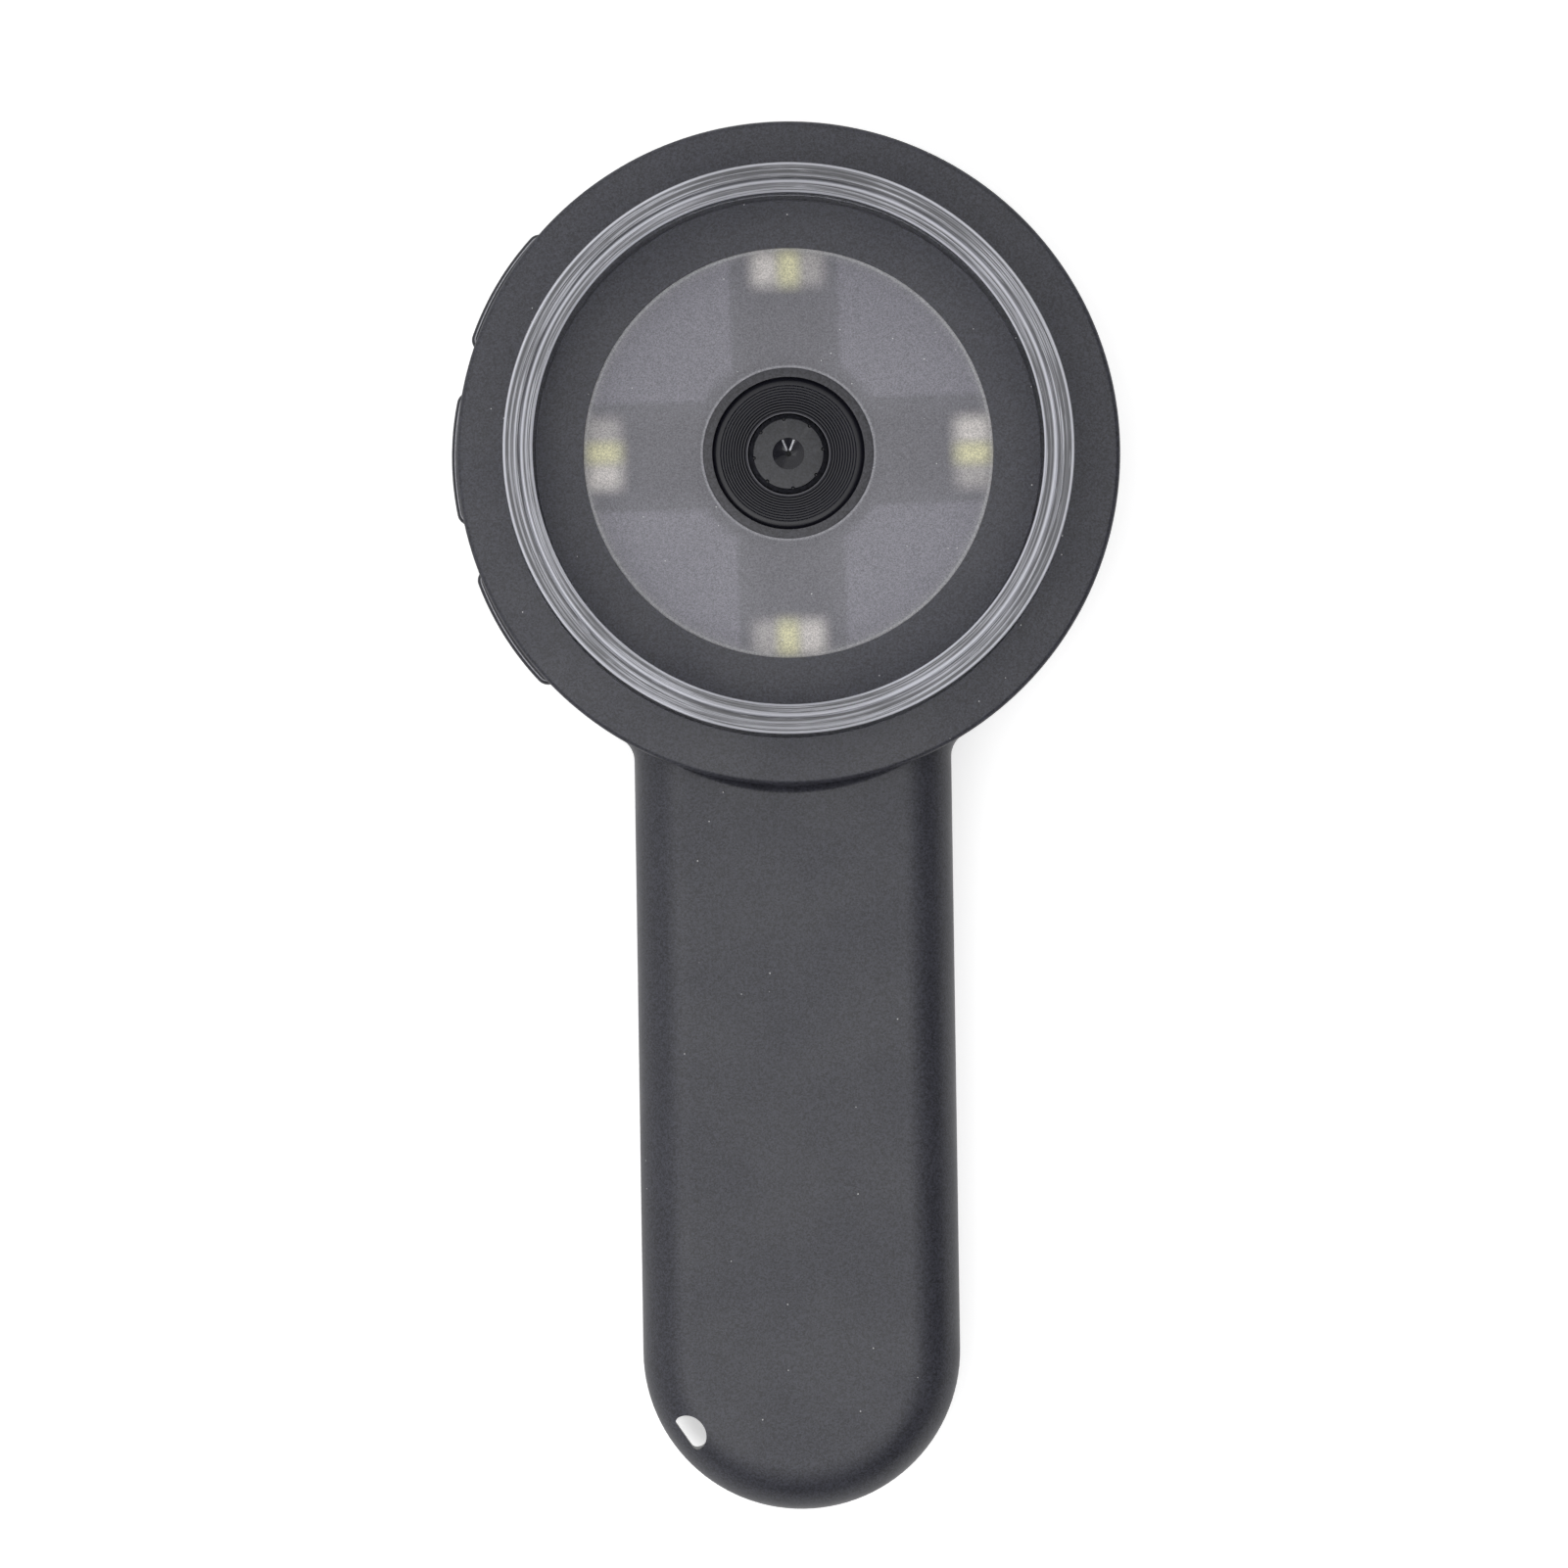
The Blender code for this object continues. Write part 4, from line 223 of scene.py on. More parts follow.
class KeySettings(bpy.types.PropertyGroup):
    """Sizes of the three side keys"""

    outer: FloatProperty(name="Key face radius", description="Distance of a key's face from the lens axis",
                         default=-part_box("key_middle")[0].x, unit="LENGTH")
    chord: FloatProperty(name="Key length", description="Length of a key along the rim", default=14.2 * MM,
                         unit="LENGTH")
    height: FloatProperty(name="Key height", description="Height of a key's cap", default=4.4 * MM,
                          unit="LENGTH")
    edge: FloatProperty(name="Key edge", description="Rounding of a key's edges", default=0.72 * MM,
                        unit="LENGTH")
    taper: FloatProperty(name="Key taper", description="Rounding of a key's ends in plan", default=1.3 * MM,
                         unit="LENGTH")
    bulge: FloatProperty(name="Key bulge", description="Radius of a key's face in plan", default=31.0 * MM,
                         unit="LENGTH")
    colour: FloatVectorProperty(name="Key colour", description="Colour of the keys", subtype="COLOR",
                                default=(0.0230, 0.0235, 0.0310), min=0.0, max=1.0)
    # Colour of the painted highlight along a key's rounded front edge.
    highlight_colour: FloatVectorProperty(name="Worn edge", description="Pale worn line on a key's front edge",
                                     subtype="COLOR", default=(0.33, 0.33, 0.36), min=0.0, max=1.0)


class ScreenSettings(bpy.types.PropertyGroup):
    """Sizes and colours of the rear screen's window"""

    view_width: FloatProperty(name="View width", description="Width of the picture area",
                              default=42.02 * MM, unit="LENGTH")
    view_height: FloatProperty(name="View height", description="Height of the picture area",
                               default=32.04 * MM, unit="LENGTH")
    view_corner: FloatProperty(name="View corner", description="Corner radius of the picture area",
                               default=1.0 * MM, unit="LENGTH")
    border_colour: FloatVectorProperty(name="Border colour", description="Printed border of the window",
                                       subtype="COLOR", default=(0.006, 0.006, 0.007), min=0.0, max=1.0)
    view_colour: FloatVectorProperty(name="View colour", description="Picture area when it is off",
                                     subtype="COLOR", default=(0.020, 0.022, 0.026), min=0.0, max=1.0)


class StageSettings(bpy.types.PropertyGroup):
    """Camera, floor and soft light"""

    camera: FloatVectorProperty(name="Camera place", description="Where the camera stands",
                                default=(-0.99 * MM, -34.88 * MM, 720.0 * MM), subtype="XYZ", unit="LENGTH")
    camera_turn: FloatProperty(name="Camera turn", description="Turn of the camera about its own axis",
                               default=math.radians(-0.857), unit="ROTATION")
    lens: FloatProperty(name="Lens", description="Focal length in millimetres", default=152.6)
    level: FloatProperty(name="Light level", description="Scale of the lamps and the world", default=1.0,
                         min=0.0)
    floor_colour: FloatVectorProperty(name="Floor colour", description="Pale floor", subtype="COLOR",
                                      default=(0.88, 0.88, 0.88), min=0.0, max=1.0)


SETTING_GROUPS = {"case": CaseSettings, "ring": RingSettings, "light": LightSettings, "lens": LensSettings,
                  "keys": KeySettings, "screen": ScreenSettings, "stage": StageSettings}


class MagnifierSettings(bpy.types.PropertyGroup):
    """Everything that a user may change on the magnifier"""

    case: PointerProperty(type=CaseSettings, name="Case", description="Moulded case")
    ring: PointerProperty(type=RingSettings, name="Ring", description="Clear ring")
    light: PointerProperty(type=LightSettings, name="Light", description="Frosted lamp window")
    lens: PointerProperty(type=LensSettings, name="Lens", description="Lens funnel and barrel")
    keys: PointerProperty(type=KeySettings, name="Keys", description="Side keys")
    screen: PointerProperty(type=ScreenSettings, name="Screen", description="Rear screen")
    stage: PointerProperty(type=StageSettings, name="Stage", description="Camera, floor and light")


# Mesh work


def verts_of(result, key="geom"):
    """The vertices in what a mesh operator made."""
    return [item for item in result[key] if isinstance(item, bmesh.types.BMVert)]


def pen_arc(bm, vert, centre, angle, steps):
    """Draws an arc in the plan from a vertex and gives the vertex at its end."""
    swept = bmesh.ops.spin(bm, geom=[vert], cent=(centre[0], centre[1], vert.co.z), axis=(0, 0, 1),
                           dvec=(0, 0, 0), angle=angle, steps=steps, use_merge=False, use_duplicate=False)
    return verts_of(swept, "geom_last")[0]


def pen_line(bm, vert, x, y):
    """Draws a straight edge in the plan from a vertex and gives the vertex at its end."""
    end = bm.verts.new((x, y, vert.co.z))
    bm.edges.new((vert, end))
    return end


def close_outline(bm):
    """Closes a drawn outline and fills it with one face."""
    bmesh.ops.remove_doubles(bm, verts=bm.verts, dist=WELD)
    bm.edges.ensure_lookup_table()
    bmesh.ops.contextual_create(bm, geom=bm.edges[:])


def raise_outline(bm, bottom, top):
    """Makes a filled outline solid from one level to another."""
    bmesh.ops.translate(bm, vec=(0, 0, bottom - bm.verts[:][0].co.z), verts=bm.verts)
    grown = bmesh.ops.extrude_face_region(bm, geom=bm.faces[:])
    bmesh.ops.translate(bm, vec=(0, 0, top - bottom), verts=verts_of(grown))
    bmesh.ops.recalc_face_normals(bm, faces=bm.faces)


def draw_stadium(bm, width, height, steps):
    """Draws an outline that is round at both ends, flat in the plan."""
    half = (width - height) / 2
    vert = bm.verts.new((half, -height / 2, 0))
    vert = pen_arc(bm, vert, (half, 0), math.pi, steps)
    vert = pen_line(bm, vert, -half, height / 2)
    vert = pen_arc(bm, vert, (-half, 0), math.pi, steps)
    pen_line(bm, vert, half, -height / 2)
    close_outline(bm)


def draw_rectangle(bm, width, height, corner, steps):
    """Draws a rectangle with round corners, flat in the plan."""
    half_x, half_y = width / 2 - corner, height / 2 - corner
    vert = bm.verts.new((width / 2, -half_y, 0))
    corners = ((half_x, half_y, width / 2, half_y), (-half_x, half_y, -half_x, height / 2),
               (-half_x, -half_y, -width / 2, -half_y), (half_x, -half_y, half_x, -height / 2))
    for x, y, start_x, start_y in corners:
        vert = pen_line(bm, vert, start_x, start_y)
        vert = pen_arc(bm, vert, (x, y), math.pi / 2, steps)
    close_outline(bm)


def bevel(bm, geom, radius, segments, affect="EDGES", clamp_overlap=False):
    """Rounds edges or corners by a radius."""
    bmesh.ops.bevel(bm, geom=geom, offset=radius, offset_type="OFFSET", segments=segments, profile=0.5,
                    affect=affect, clamp_overlap=clamp_overlap, material=-1)


def spin_outline(bm, steps):
    """Turns a drawn outline once round the lens axis into a closed solid."""
    bmesh.ops.spin(bm, geom=bm.verts[:] + bm.edges[:], cent=(0, 0, 0), axis=(0, 0, 1), dvec=(0, 0, 0),
                   angle=FULL_TURN, steps=steps, use_merge=True, use_duplicate=False)
    bmesh.ops.remove_doubles(bm, verts=bm.verts, dist=WELD)
    loose = [edge for edge in bm.edges if not edge.link_faces]
    bmesh.ops.delete(bm, geom=loose, context="EDGES")
    bmesh.ops.recalc_face_normals(bm, faces=bm.faces)


def spin_section(section, steps, rounded=()):
    """Turns a closed section (radius, level) about the lens axis into a solid. Corners named in rounded are
    (index, radius, segments)."""
    bm = bmesh.new()
    verts = [bm.verts.new((radius, 0, level)) for radius, level in section]
    for index, vert in enumerate(verts):
        bm.edges.new((vert, verts[(index + 1) % len(verts)]))
    for index, radius, segments in rounded:
        bevel(bm, [verts[index]], radius, segments, "VERTICES")
    spin_outline(bm, steps)
    return bm


def round_rim(bm, level, radius, segments, beyond=0.0):
    """Rounds the sharp edges in one level that lie outside a circle round the lens axis."""
    rim = []
    for edge in bm.edges:
        flat = all(abs(vert.co.z - level) < WELD for vert in edge.verts)
        outside = all(vert.co.xy.length > beyond for vert in edge.verts)
        if flat and outside and edge.calc_face_angle(0.0) > EDGE_TURN:
            rim.append(edge)
    bevel(bm, rim, radius, segments)
    bmesh.ops.recalc_face_normals(bm, faces=bm.faces)


def block(size, centre, turn=0.0, rounding=0.0, segments=3):
    """A block whose edges are rounded, moved to a place and then turned about the lens axis."""
    bm = bmesh.new()
    bmesh.ops.create_cube(bm, size=1.0)
    bmesh.ops.scale(bm, vec=size, verts=bm.verts)
    if rounding > 0:
        bevel(bm, bm.edges[:], rounding, segments, clamp_overlap=True)
    bmesh.ops.translate(bm, vec=centre, verts=bm.verts)
    bm.transform(Matrix.Rotation(turn, 4, "Z"))
    return bm


def rod(radius, bottom, top, place, steps=32, taper=1.0):
    """An upright round rod. Taper is the share of its radius that it keeps at the bottom."""
    bm = bmesh.new()
    bmesh.ops.create_cone(bm, cap_ends=True, segments=steps, radius1=radius * taper, radius2=radius,
                          depth=top - bottom)
    bmesh.ops.translate(bm, vec=(place[0], place[1], (bottom + top) / 2), verts=bm.verts)
    return bm


def lay_outwards(bm, start, turn, level):
    """Lays a solid that was drawn in the plan on its side: its height then runs out from the lens axis."""
    bm.transform(Matrix(((0, 0, 1, 0), (1, 0, 0, 0), (0, 1, 0, 0), (0, 0, 0, 1))))
    bm.transform(Matrix.Rotation(turn, 4, "Z") @ Matrix.Translation((start, 0, level)))
    return bm


def mesh_from(name, bm):
    """Writes a bmesh to a mesh and frees it."""
    mesh = bpy.data.meshes.new(name)
    bm.to_mesh(mesh)
    bm.free()
    return mesh


def together(*solids):
    """One bmesh of several that don't touch."""
    whole = bmesh.new()
    for solid in solids:
        mesh = mesh_from("part_of_tool", solid)
        whole.from_mesh(mesh)
        bpy.data.meshes.remove(mesh)
    return whole


def carve(bm, steps):
    """Applies a chain of (operation, tool) to a solid and gives the result."""
    body = bpy.data.objects.new("body_in_work", mesh_from("body_in_work", bm))
    bpy.context.scene.collection.objects.link(body)
    tools = []
    for operation, tool in steps:
        cutter = bpy.data.objects.new("tool_in_work", mesh_from("tool_in_work", tool))
        bpy.context.scene.collection.objects.link(cutter)
        tools.append(cutter)
        modifier = body.modifiers.new(operation, "BOOLEAN")
        modifier.operation = operation
        modifier.object = cutter
        modifier.solver = "EXACT"
    bpy.context.view_layer.update()
    graph = bpy.context.evaluated_depsgraph_get()
    carved = bpy.data.meshes.new_from_object(body.evaluated_get(graph))
    result = bmesh.new()
    result.from_mesh(carved)
    for helper in tools + [body]:
        mesh = helper.data
        bpy.data.objects.remove(helper, do_unlink=True)
        bpy.data.meshes.remove(mesh)
    bpy.data.meshes.remove(carved)
    bmesh.ops.remove_doubles(result, verts=result.verts, dist=WELD)
    bmesh.ops.dissolve_degenerate(result, edges=result.edges, dist=WELD)
    return result


def finish_piece(name, bm, slot, replaced=(), body="case", material=None, more=(), weighted=False):
    """Turns a bmesh into a shown piece that rides on a body and stands for CAD nodes. Its material is its
    slot's unless one is given, and more are those of the faces with an index above 0."""
    mesh = mesh_from(name, bm)
    mesh.shade_smooth()
    mesh.set_sharp_from_angle(angle=SMOOTH_TURN)
    for finish in (material or finish_for(slot), *more):
        mesh.materials.append(finish)
    piece = bpy.data.objects.new(name, mesh)
    bpy.context.scene.collection.objects.link(piece)
    if weighted:
        normals = piece.modifiers.new("even_shading", "WEIGHTED_NORMAL")
        normals.keep_sharp = True
    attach(piece, body)
    if replaced:
        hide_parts(*replaced)


# Materials


class Net:
    """Places and wires shader nodes in one node tree."""

    def __init__(self, tree):
        self.tree = tree

    def node(self, kind, inputs=None, **settings):
        """A node with its settings, and values or links for its inputs."""
        made = self.tree.nodes.new(kind)
        for name, value in settings.items():
            setattr(made, name, value)
        for name, value in (inputs or {}).items():
            self.feed(made.inputs[name], value)
        return made

    def feed(self, socket, value):
        """Links an output to an input, or sets the input's value."""
        if isinstance(value, bpy.types.NodeSocket):
            self.tree.links.new(value, socket)
        elif socket.type == "RGBA" and len(value) == 3:
            socket.default_value = (*value, 1.0)
        else:
            socket.default_value = value

    def math(self, operation, *values):
        """A Math node's output."""
        made = self.tree.nodes.new("ShaderNodeMath")
        made.operation = operation
        for socket, value in zip(made.inputs, values):
            self.feed(socket, value)
        return made.outputs[0]

    def ramp(self, value, low, high, to_low=0.0, to_high=1.0):
        """A smooth step of a value between two limits."""
        made = self.node("ShaderNodeMapRange", {"Value": value, "From Min": low, "From Max": high,
                                                "To Min": to_low, "To Max": to_high},
                         interpolation_type="SMOOTHSTEP")
        return made.outputs["Result"]

    def mix(self, factor, first, second, blend="MIX"):
        """A colour between two colours."""
        made = self.tree.nodes.new("ShaderNodeMix")
        made.data_type = "RGBA"
        made.blend_type = blend
        for index, value in ((0, factor), (6, first), (7, second)):
            self.feed(made.inputs[index], value)
        return made.outputs[2]

    def group(self, tree, inputs):
        """A placed node group."""
        made = self.tree.nodes.new("ShaderNodeGroup")
        made.node_tree = tree
        for name, value in inputs.items():
            self.feed(made.inputs[name], value)
        return made

    def place(self):
        """Object coordinates."""
        return self.node("ShaderNodeTexCoord").outputs["Object"]

    def noise(self, vector, scale, detail, roughness=0.5, distortion=0.0):
        """A Noise Texture's value."""
        made = self.node("ShaderNodeTexNoise", {"Vector": vector, "Scale": scale, "Detail": detail,
                                                "Roughness": roughness, "Distortion": distortion})
        return made.outputs["Fac"]

    def split(self, vector):
        """The X, Y and Z of a vector."""
        return self.node("ShaderNodeSeparateXYZ", {"Vector": vector}).outputs

    def vector(self, operation, *values):
        """A Vector Math node's output."""
        made = self.node("ShaderNodeVectorMath", operation=operation)
        for socket, value in zip(made.inputs, values):
            self.feed(socket, value)
        return made.outputs["Value" if operation == "LENGTH" else "Vector"]

    def plan(self, vector):
        """A vector without its height, and its distance from the lens axis."""
        parts = self.split(vector)
        flat = self.node("ShaderNodeCombineXYZ", {"X": parts["X"], "Y": parts["Y"], "Z": 0.0})
        return flat.outputs["Vector"], self.vector("LENGTH", flat.outputs["Vector"])

    def bump(self, shader, height, strength, distance):
        """Lifts a shader's surface by a height."""
        lift = self.node("ShaderNodeBump", {"Height": height, "Strength": strength, "Distance": distance})
        self.feed(shader.inputs["Normal"], lift.outputs["Normal"])

    def dusted(self, shade, speck_colour, inputs):
        """A colour with specks of dust over it."""
        specks = self.group(group("dust"), inputs)
        return self.mix(specks.outputs["Mask"], shade, speck_colour)


def new_group(name, inputs, outputs):
    """An empty node group with its sockets, its net, and its two end nodes."""
    tree = bpy.data.node_groups.new(name, "ShaderNodeTree")
    for label, kind, value in inputs:
        socket = tree.interface.new_socket(label, in_out="INPUT", socket_type=kind)
        if value is not None:
            socket.default_value = value
    for label, kind in outputs:
        tree.interface.new_socket(label, in_out="OUTPUT", socket_type=kind)
    start = tree.nodes.new("NodeGroupInput")
    end = tree.nodes.new("NodeGroupOutput")
    return tree, Net(tree), start, end


def make_grain_group():
    """Moulded grain: a fine bumpy texture over slow patches."""
    tree, net, start, end = new_group(
        "moulded_grain",
        [("Vector", "NodeSocketVector", None), ("Grain Size", "NodeSocketFloat", 0.2 * MM),
         ("Patch Size", "NodeSocketFloat", 9.0 * MM)],
        [("Height", "NodeSocketFloat"), ("Speckle", "NodeSocketFloat"), ("Patch", "NodeSocketFloat")])
    place = start.outputs["Vector"]
    rate = net.math("DIVIDE", 1.0, start.outputs["Grain Size"])
    fine = net.noise(place, rate, 2.0, 0.6)
    coarse = net.noise(place, net.math("MULTIPLY", rate, 0.42), 1.0)
    pits = net.node("ShaderNodeTexVoronoi", {"Vector": place, "Scale": net.math("MULTIPLY", rate, 0.6)})
    cells = net.node("ShaderNodeTexVoronoi", {"Vector": place, "Scale": rate})
    random = net.node("ShaderNodeSeparateColor", {"Color": cells.outputs["Color"]}).outputs["Red"]
    both = net.math("ADD", net.math("MULTIPLY", fine, 0.4), net.math("MULTIPLY", coarse, 0.6))
    height = net.math("ADD", net.math("MULTIPLY", both, 0.7),
                      net.math("MULTIPLY", pits.outputs["Distance"], 0.3))
    speckle = net.math("ADD", net.math("MULTIPLY", random, 0.75), net.ramp(both, 0.25, 0.75, 0.0, 0.25))
    net.feed(end.inputs["Height"], height)
    net.feed(end.inputs["Speckle"], speckle)
    net.feed(end.inputs["Patch"], net.noise(place, net.math("DIVIDE", 1.0, start.outputs["Patch Size"]), 3.0))
    return tree


def make_dust_group():
    """Sparse pale specks of dust."""
    tree, net, start, end = new_group(
        "dust_specks",
        [("Vector", "NodeSocketVector", None), ("Spacing", "NodeSocketFloat", 1.5 * MM),
         ("Speck", "NodeSocketFloat", 0.05), ("Share", "NodeSocketFloat", 0.2)],
        [("Mask", "NodeSocketFloat")])
    rate = net.math("DIVIDE", 1.0, start.outputs["Spacing"])
    cells = net.node("ShaderNodeTexVoronoi", {"Vector": start.outputs["Vector"], "Scale": rate})
    near = net.math("LESS_THAN", cells.outputs["Distance"], start.outputs["Speck"])
    pick = net.node("ShaderNodeSeparateColor", {"Color": cells.outputs["Color"]})
    few = net.math("LESS_THAN", pick.outputs["Red"], start.outputs["Share"])
    net.feed(end.inputs["Mask"], net.math("MULTIPLY", near, few))
    return tree


def make_lamp_group():
    """One lamp seen through the frosted window: a bright end, a yellow middle and a dimmer end. Vector is
    measured from the lamp's centre, its X outwards and its Y along the lamp towards the bright end."""
    tree, net, start, end = new_group(
        "lamp_glow",
        [("Vector", "NodeSocketVector", None)],
        [("White", "NodeSocketFloat"), ("Yellow", "NodeSocketFloat")])
    apart = net.split(start.outputs["Vector"])
    out, along = apart["X"], apart["Y"]
    depth = net.math("MULTIPLY", net.ramp(out, -2.9 * MM, -0.4 * MM), net.ramp(out, 3.0 * MM, 0.8 * MM))

    def bell(centre, reach):
        away = net.math("ABSOLUTE", net.math("SUBTRACT", along, centre))
        return net.ramp(away, reach, reach * 0.12)

    white = net.math("ADD", bell(1.85 * MM, 2.6 * MM), net.math("MULTIPLY", bell(-2.7 * MM, 2.6 * MM), 0.55))
    net.feed(end.inputs["White"], net.math("MULTIPLY", white, depth))
    net.feed(end.inputs["Yellow"], net.math("MULTIPLY", bell(-0.55 * MM, 1.95 * MM), depth))
    return tree


GROUPS = {}


def group(name):
    """A shared node group, built the first time that it is asked for."""
    makers = {"grain": make_grain_group, "dust": make_dust_group, "lamp": make_lamp_group}
    if name not in GROUPS:
        GROUPS[name] = makers[name]()
    return GROUPS[name]


def new_material(name):
    """An empty material with its Principled shader, and its net."""
    material = bpy.data.materials.new(name)
    material.use_nodes = True
    net = Net(material.node_tree)
    return material, net, material.node_tree.nodes["Principled BSDF"]


def scaled(colour, share):
    """A colour made darker or lighter by a share."""
    return [channel * share for channel in colour]


def moulded(name, colour, roughness, grain=0.2 * MM, bump=0.25, speckle=0.10, drift=0.06, dust=0.0,
            shine=0.5):
    """Moulded plastic with fine grain, slow colour drift and, if asked, a little dust."""
    material, net, shader = new_material(name)
    place = net.place()
    texture = net.group(group("grain"), {"Vector": place, "Grain Size": grain})
    light = [min(1.0, channel) for channel in scaled(colour, (1 + speckle) * (1 + drift))]
    dark = scaled(colour, (1 - speckle) * (1 - drift))
    tone = net.math("ADD", net.math("MULTIPLY", texture.outputs["Speckle"], 0.85),
                    net.math("MULTIPLY", texture.outputs["Patch"], 0.15))
    shade = net.mix(tone, dark, light)
    if dust > 0:
        shade = net.dusted(shade, (0.5, 0.5, 0.5), {"Vector": place, "Share": dust})
    net.feed(shader.inputs["Base Color"], shade)
    shader.inputs["Specular IOR Level"].default_value = shine
    net.feed(shader.inputs["Roughness"],
             net.ramp(texture.outputs["Patch"], 0.3, 0.7, roughness - 0.04, roughness + 0.04))
    net.bump(shader, texture.outputs["Height"], bump, grain * 0.25)
    return material


def metal(name, colour, roughness, scratch=0.12):
    """Rolled or turned metal with fine scratches."""
    material, net, shader = new_material(name)
    place = net.place()
    stretched = net.node("ShaderNodeMapping", {"Vector": place, "Scale": (1.0, 0.12, 1.0)})
    lines = net.noise(stretched.outputs["Vector"], 6000.0, 3.0)
    net.feed(shader.inputs["Base Color"], net.mix(net.noise(place, 220.0, 2.0), scaled(colour, 0.82), colour))
    net.feed(shader.inputs["Roughness"],
             net.ramp(lines, 0.25, 0.75, roughness - scratch / 2, roughness + scratch / 2))
    net.bump(shader, lines, 0.15, 0.02 * MM)
    shader.inputs["Metallic"].default_value = 1.0
    return material


def clear(name, colour, roughness, refraction):
    """Clear acrylic or glass with faint polishing marks."""
    material, net, shader = new_material(name)
    place = net.place()
    net.feed(shader.inputs["Roughness"],
             net.ramp(net.noise(place, 1500.0, 2.0), 0.35, 0.75, roughness * 0.6, roughness * 1.6))
    net.feed(shader.inputs["Base Color"], net.mix(net.noise(place, 90.0, 1.0), scaled(colour, 0.97), colour))
    shader.inputs["Transmission Weight"].default_value = 1.0
    shader.inputs["IOR"].default_value = refraction
    return material


def painted_ring_acrylic(name, settings, through):
    """Acrylic of the ring's face with painted reflections: pale painted lines and finer streaks run round it
    between dark clear bands, with a few painted glints. Painted shade dims them at the two ends that lie
    along the handle."""
    material, net, shader = new_material(name)
    flat, radius = net.plan(net.place())
    around = net.vector("NORMALIZE", flat)
    swirl = net.split(net.vector("MULTIPLY", around, (1.6, 1.6, 1.6)))
    turned = net.node("ShaderNodeCombineXYZ", {"X": swirl["X"], "Y": swirl["Y"],
                                               "Z": net.math("MULTIPLY", radius, 5200.0)}).outputs["Vector"]
    streak = net.noise(turned, 1.0, 3.0, 0.65)
    steady = net.ramp(net.noise(around, 2.3, 1.0), 0.35, 0.65, 0.35, 1.0)
    tone = net.ramp(streak, 0.46, 0.66, settings.dark, settings.dark + 0.58)
    # Pale painted reflection lines, some of them fading in and out round the ring.
    for inwards, half_width, strength, fades in RING_REFLECTION_LINES:
        away = net.math("ABSOLUTE", net.math("SUBTRACT", radius, RING_OUTER - inwards * MM))
        line = net.ramp(away, half_width * MM, 0.0, 0.0, strength)
        if fades:
            line = net.math("MULTIPLY", line, steady)
        tone = net.math("MAXIMUM", tone, line)
    # Painted shade: the ring's tone is darker at the two ends that lie along the handle.
    end_on = net.math("ABSOLUTE", net.split(around)["Y"])
    tone = net.math("MULTIPLY", tone, net.ramp(end_on, 0.90, 0.99, 1.0, 0.78))
    # Painted glints: a few brighter spots round the ring.
    tone = net.math("MAXIMUM", tone, net.ramp(net.noise(turned, 4.5, 1.0), 0.66, 0.76))
    net.feed(shader.inputs["Base Color"], net.mix(tone, (0.0, 0.0, 0.0), settings.colour))
    net.feed(shader.inputs["Roughness"], net.ramp(streak, 0.3, 0.7, 0.14, 0.30))
    shader.inputs["Transmission Weight"].default_value = through
    shader.inputs["IOR"].default_value = ACRYLIC_IOR
    return material


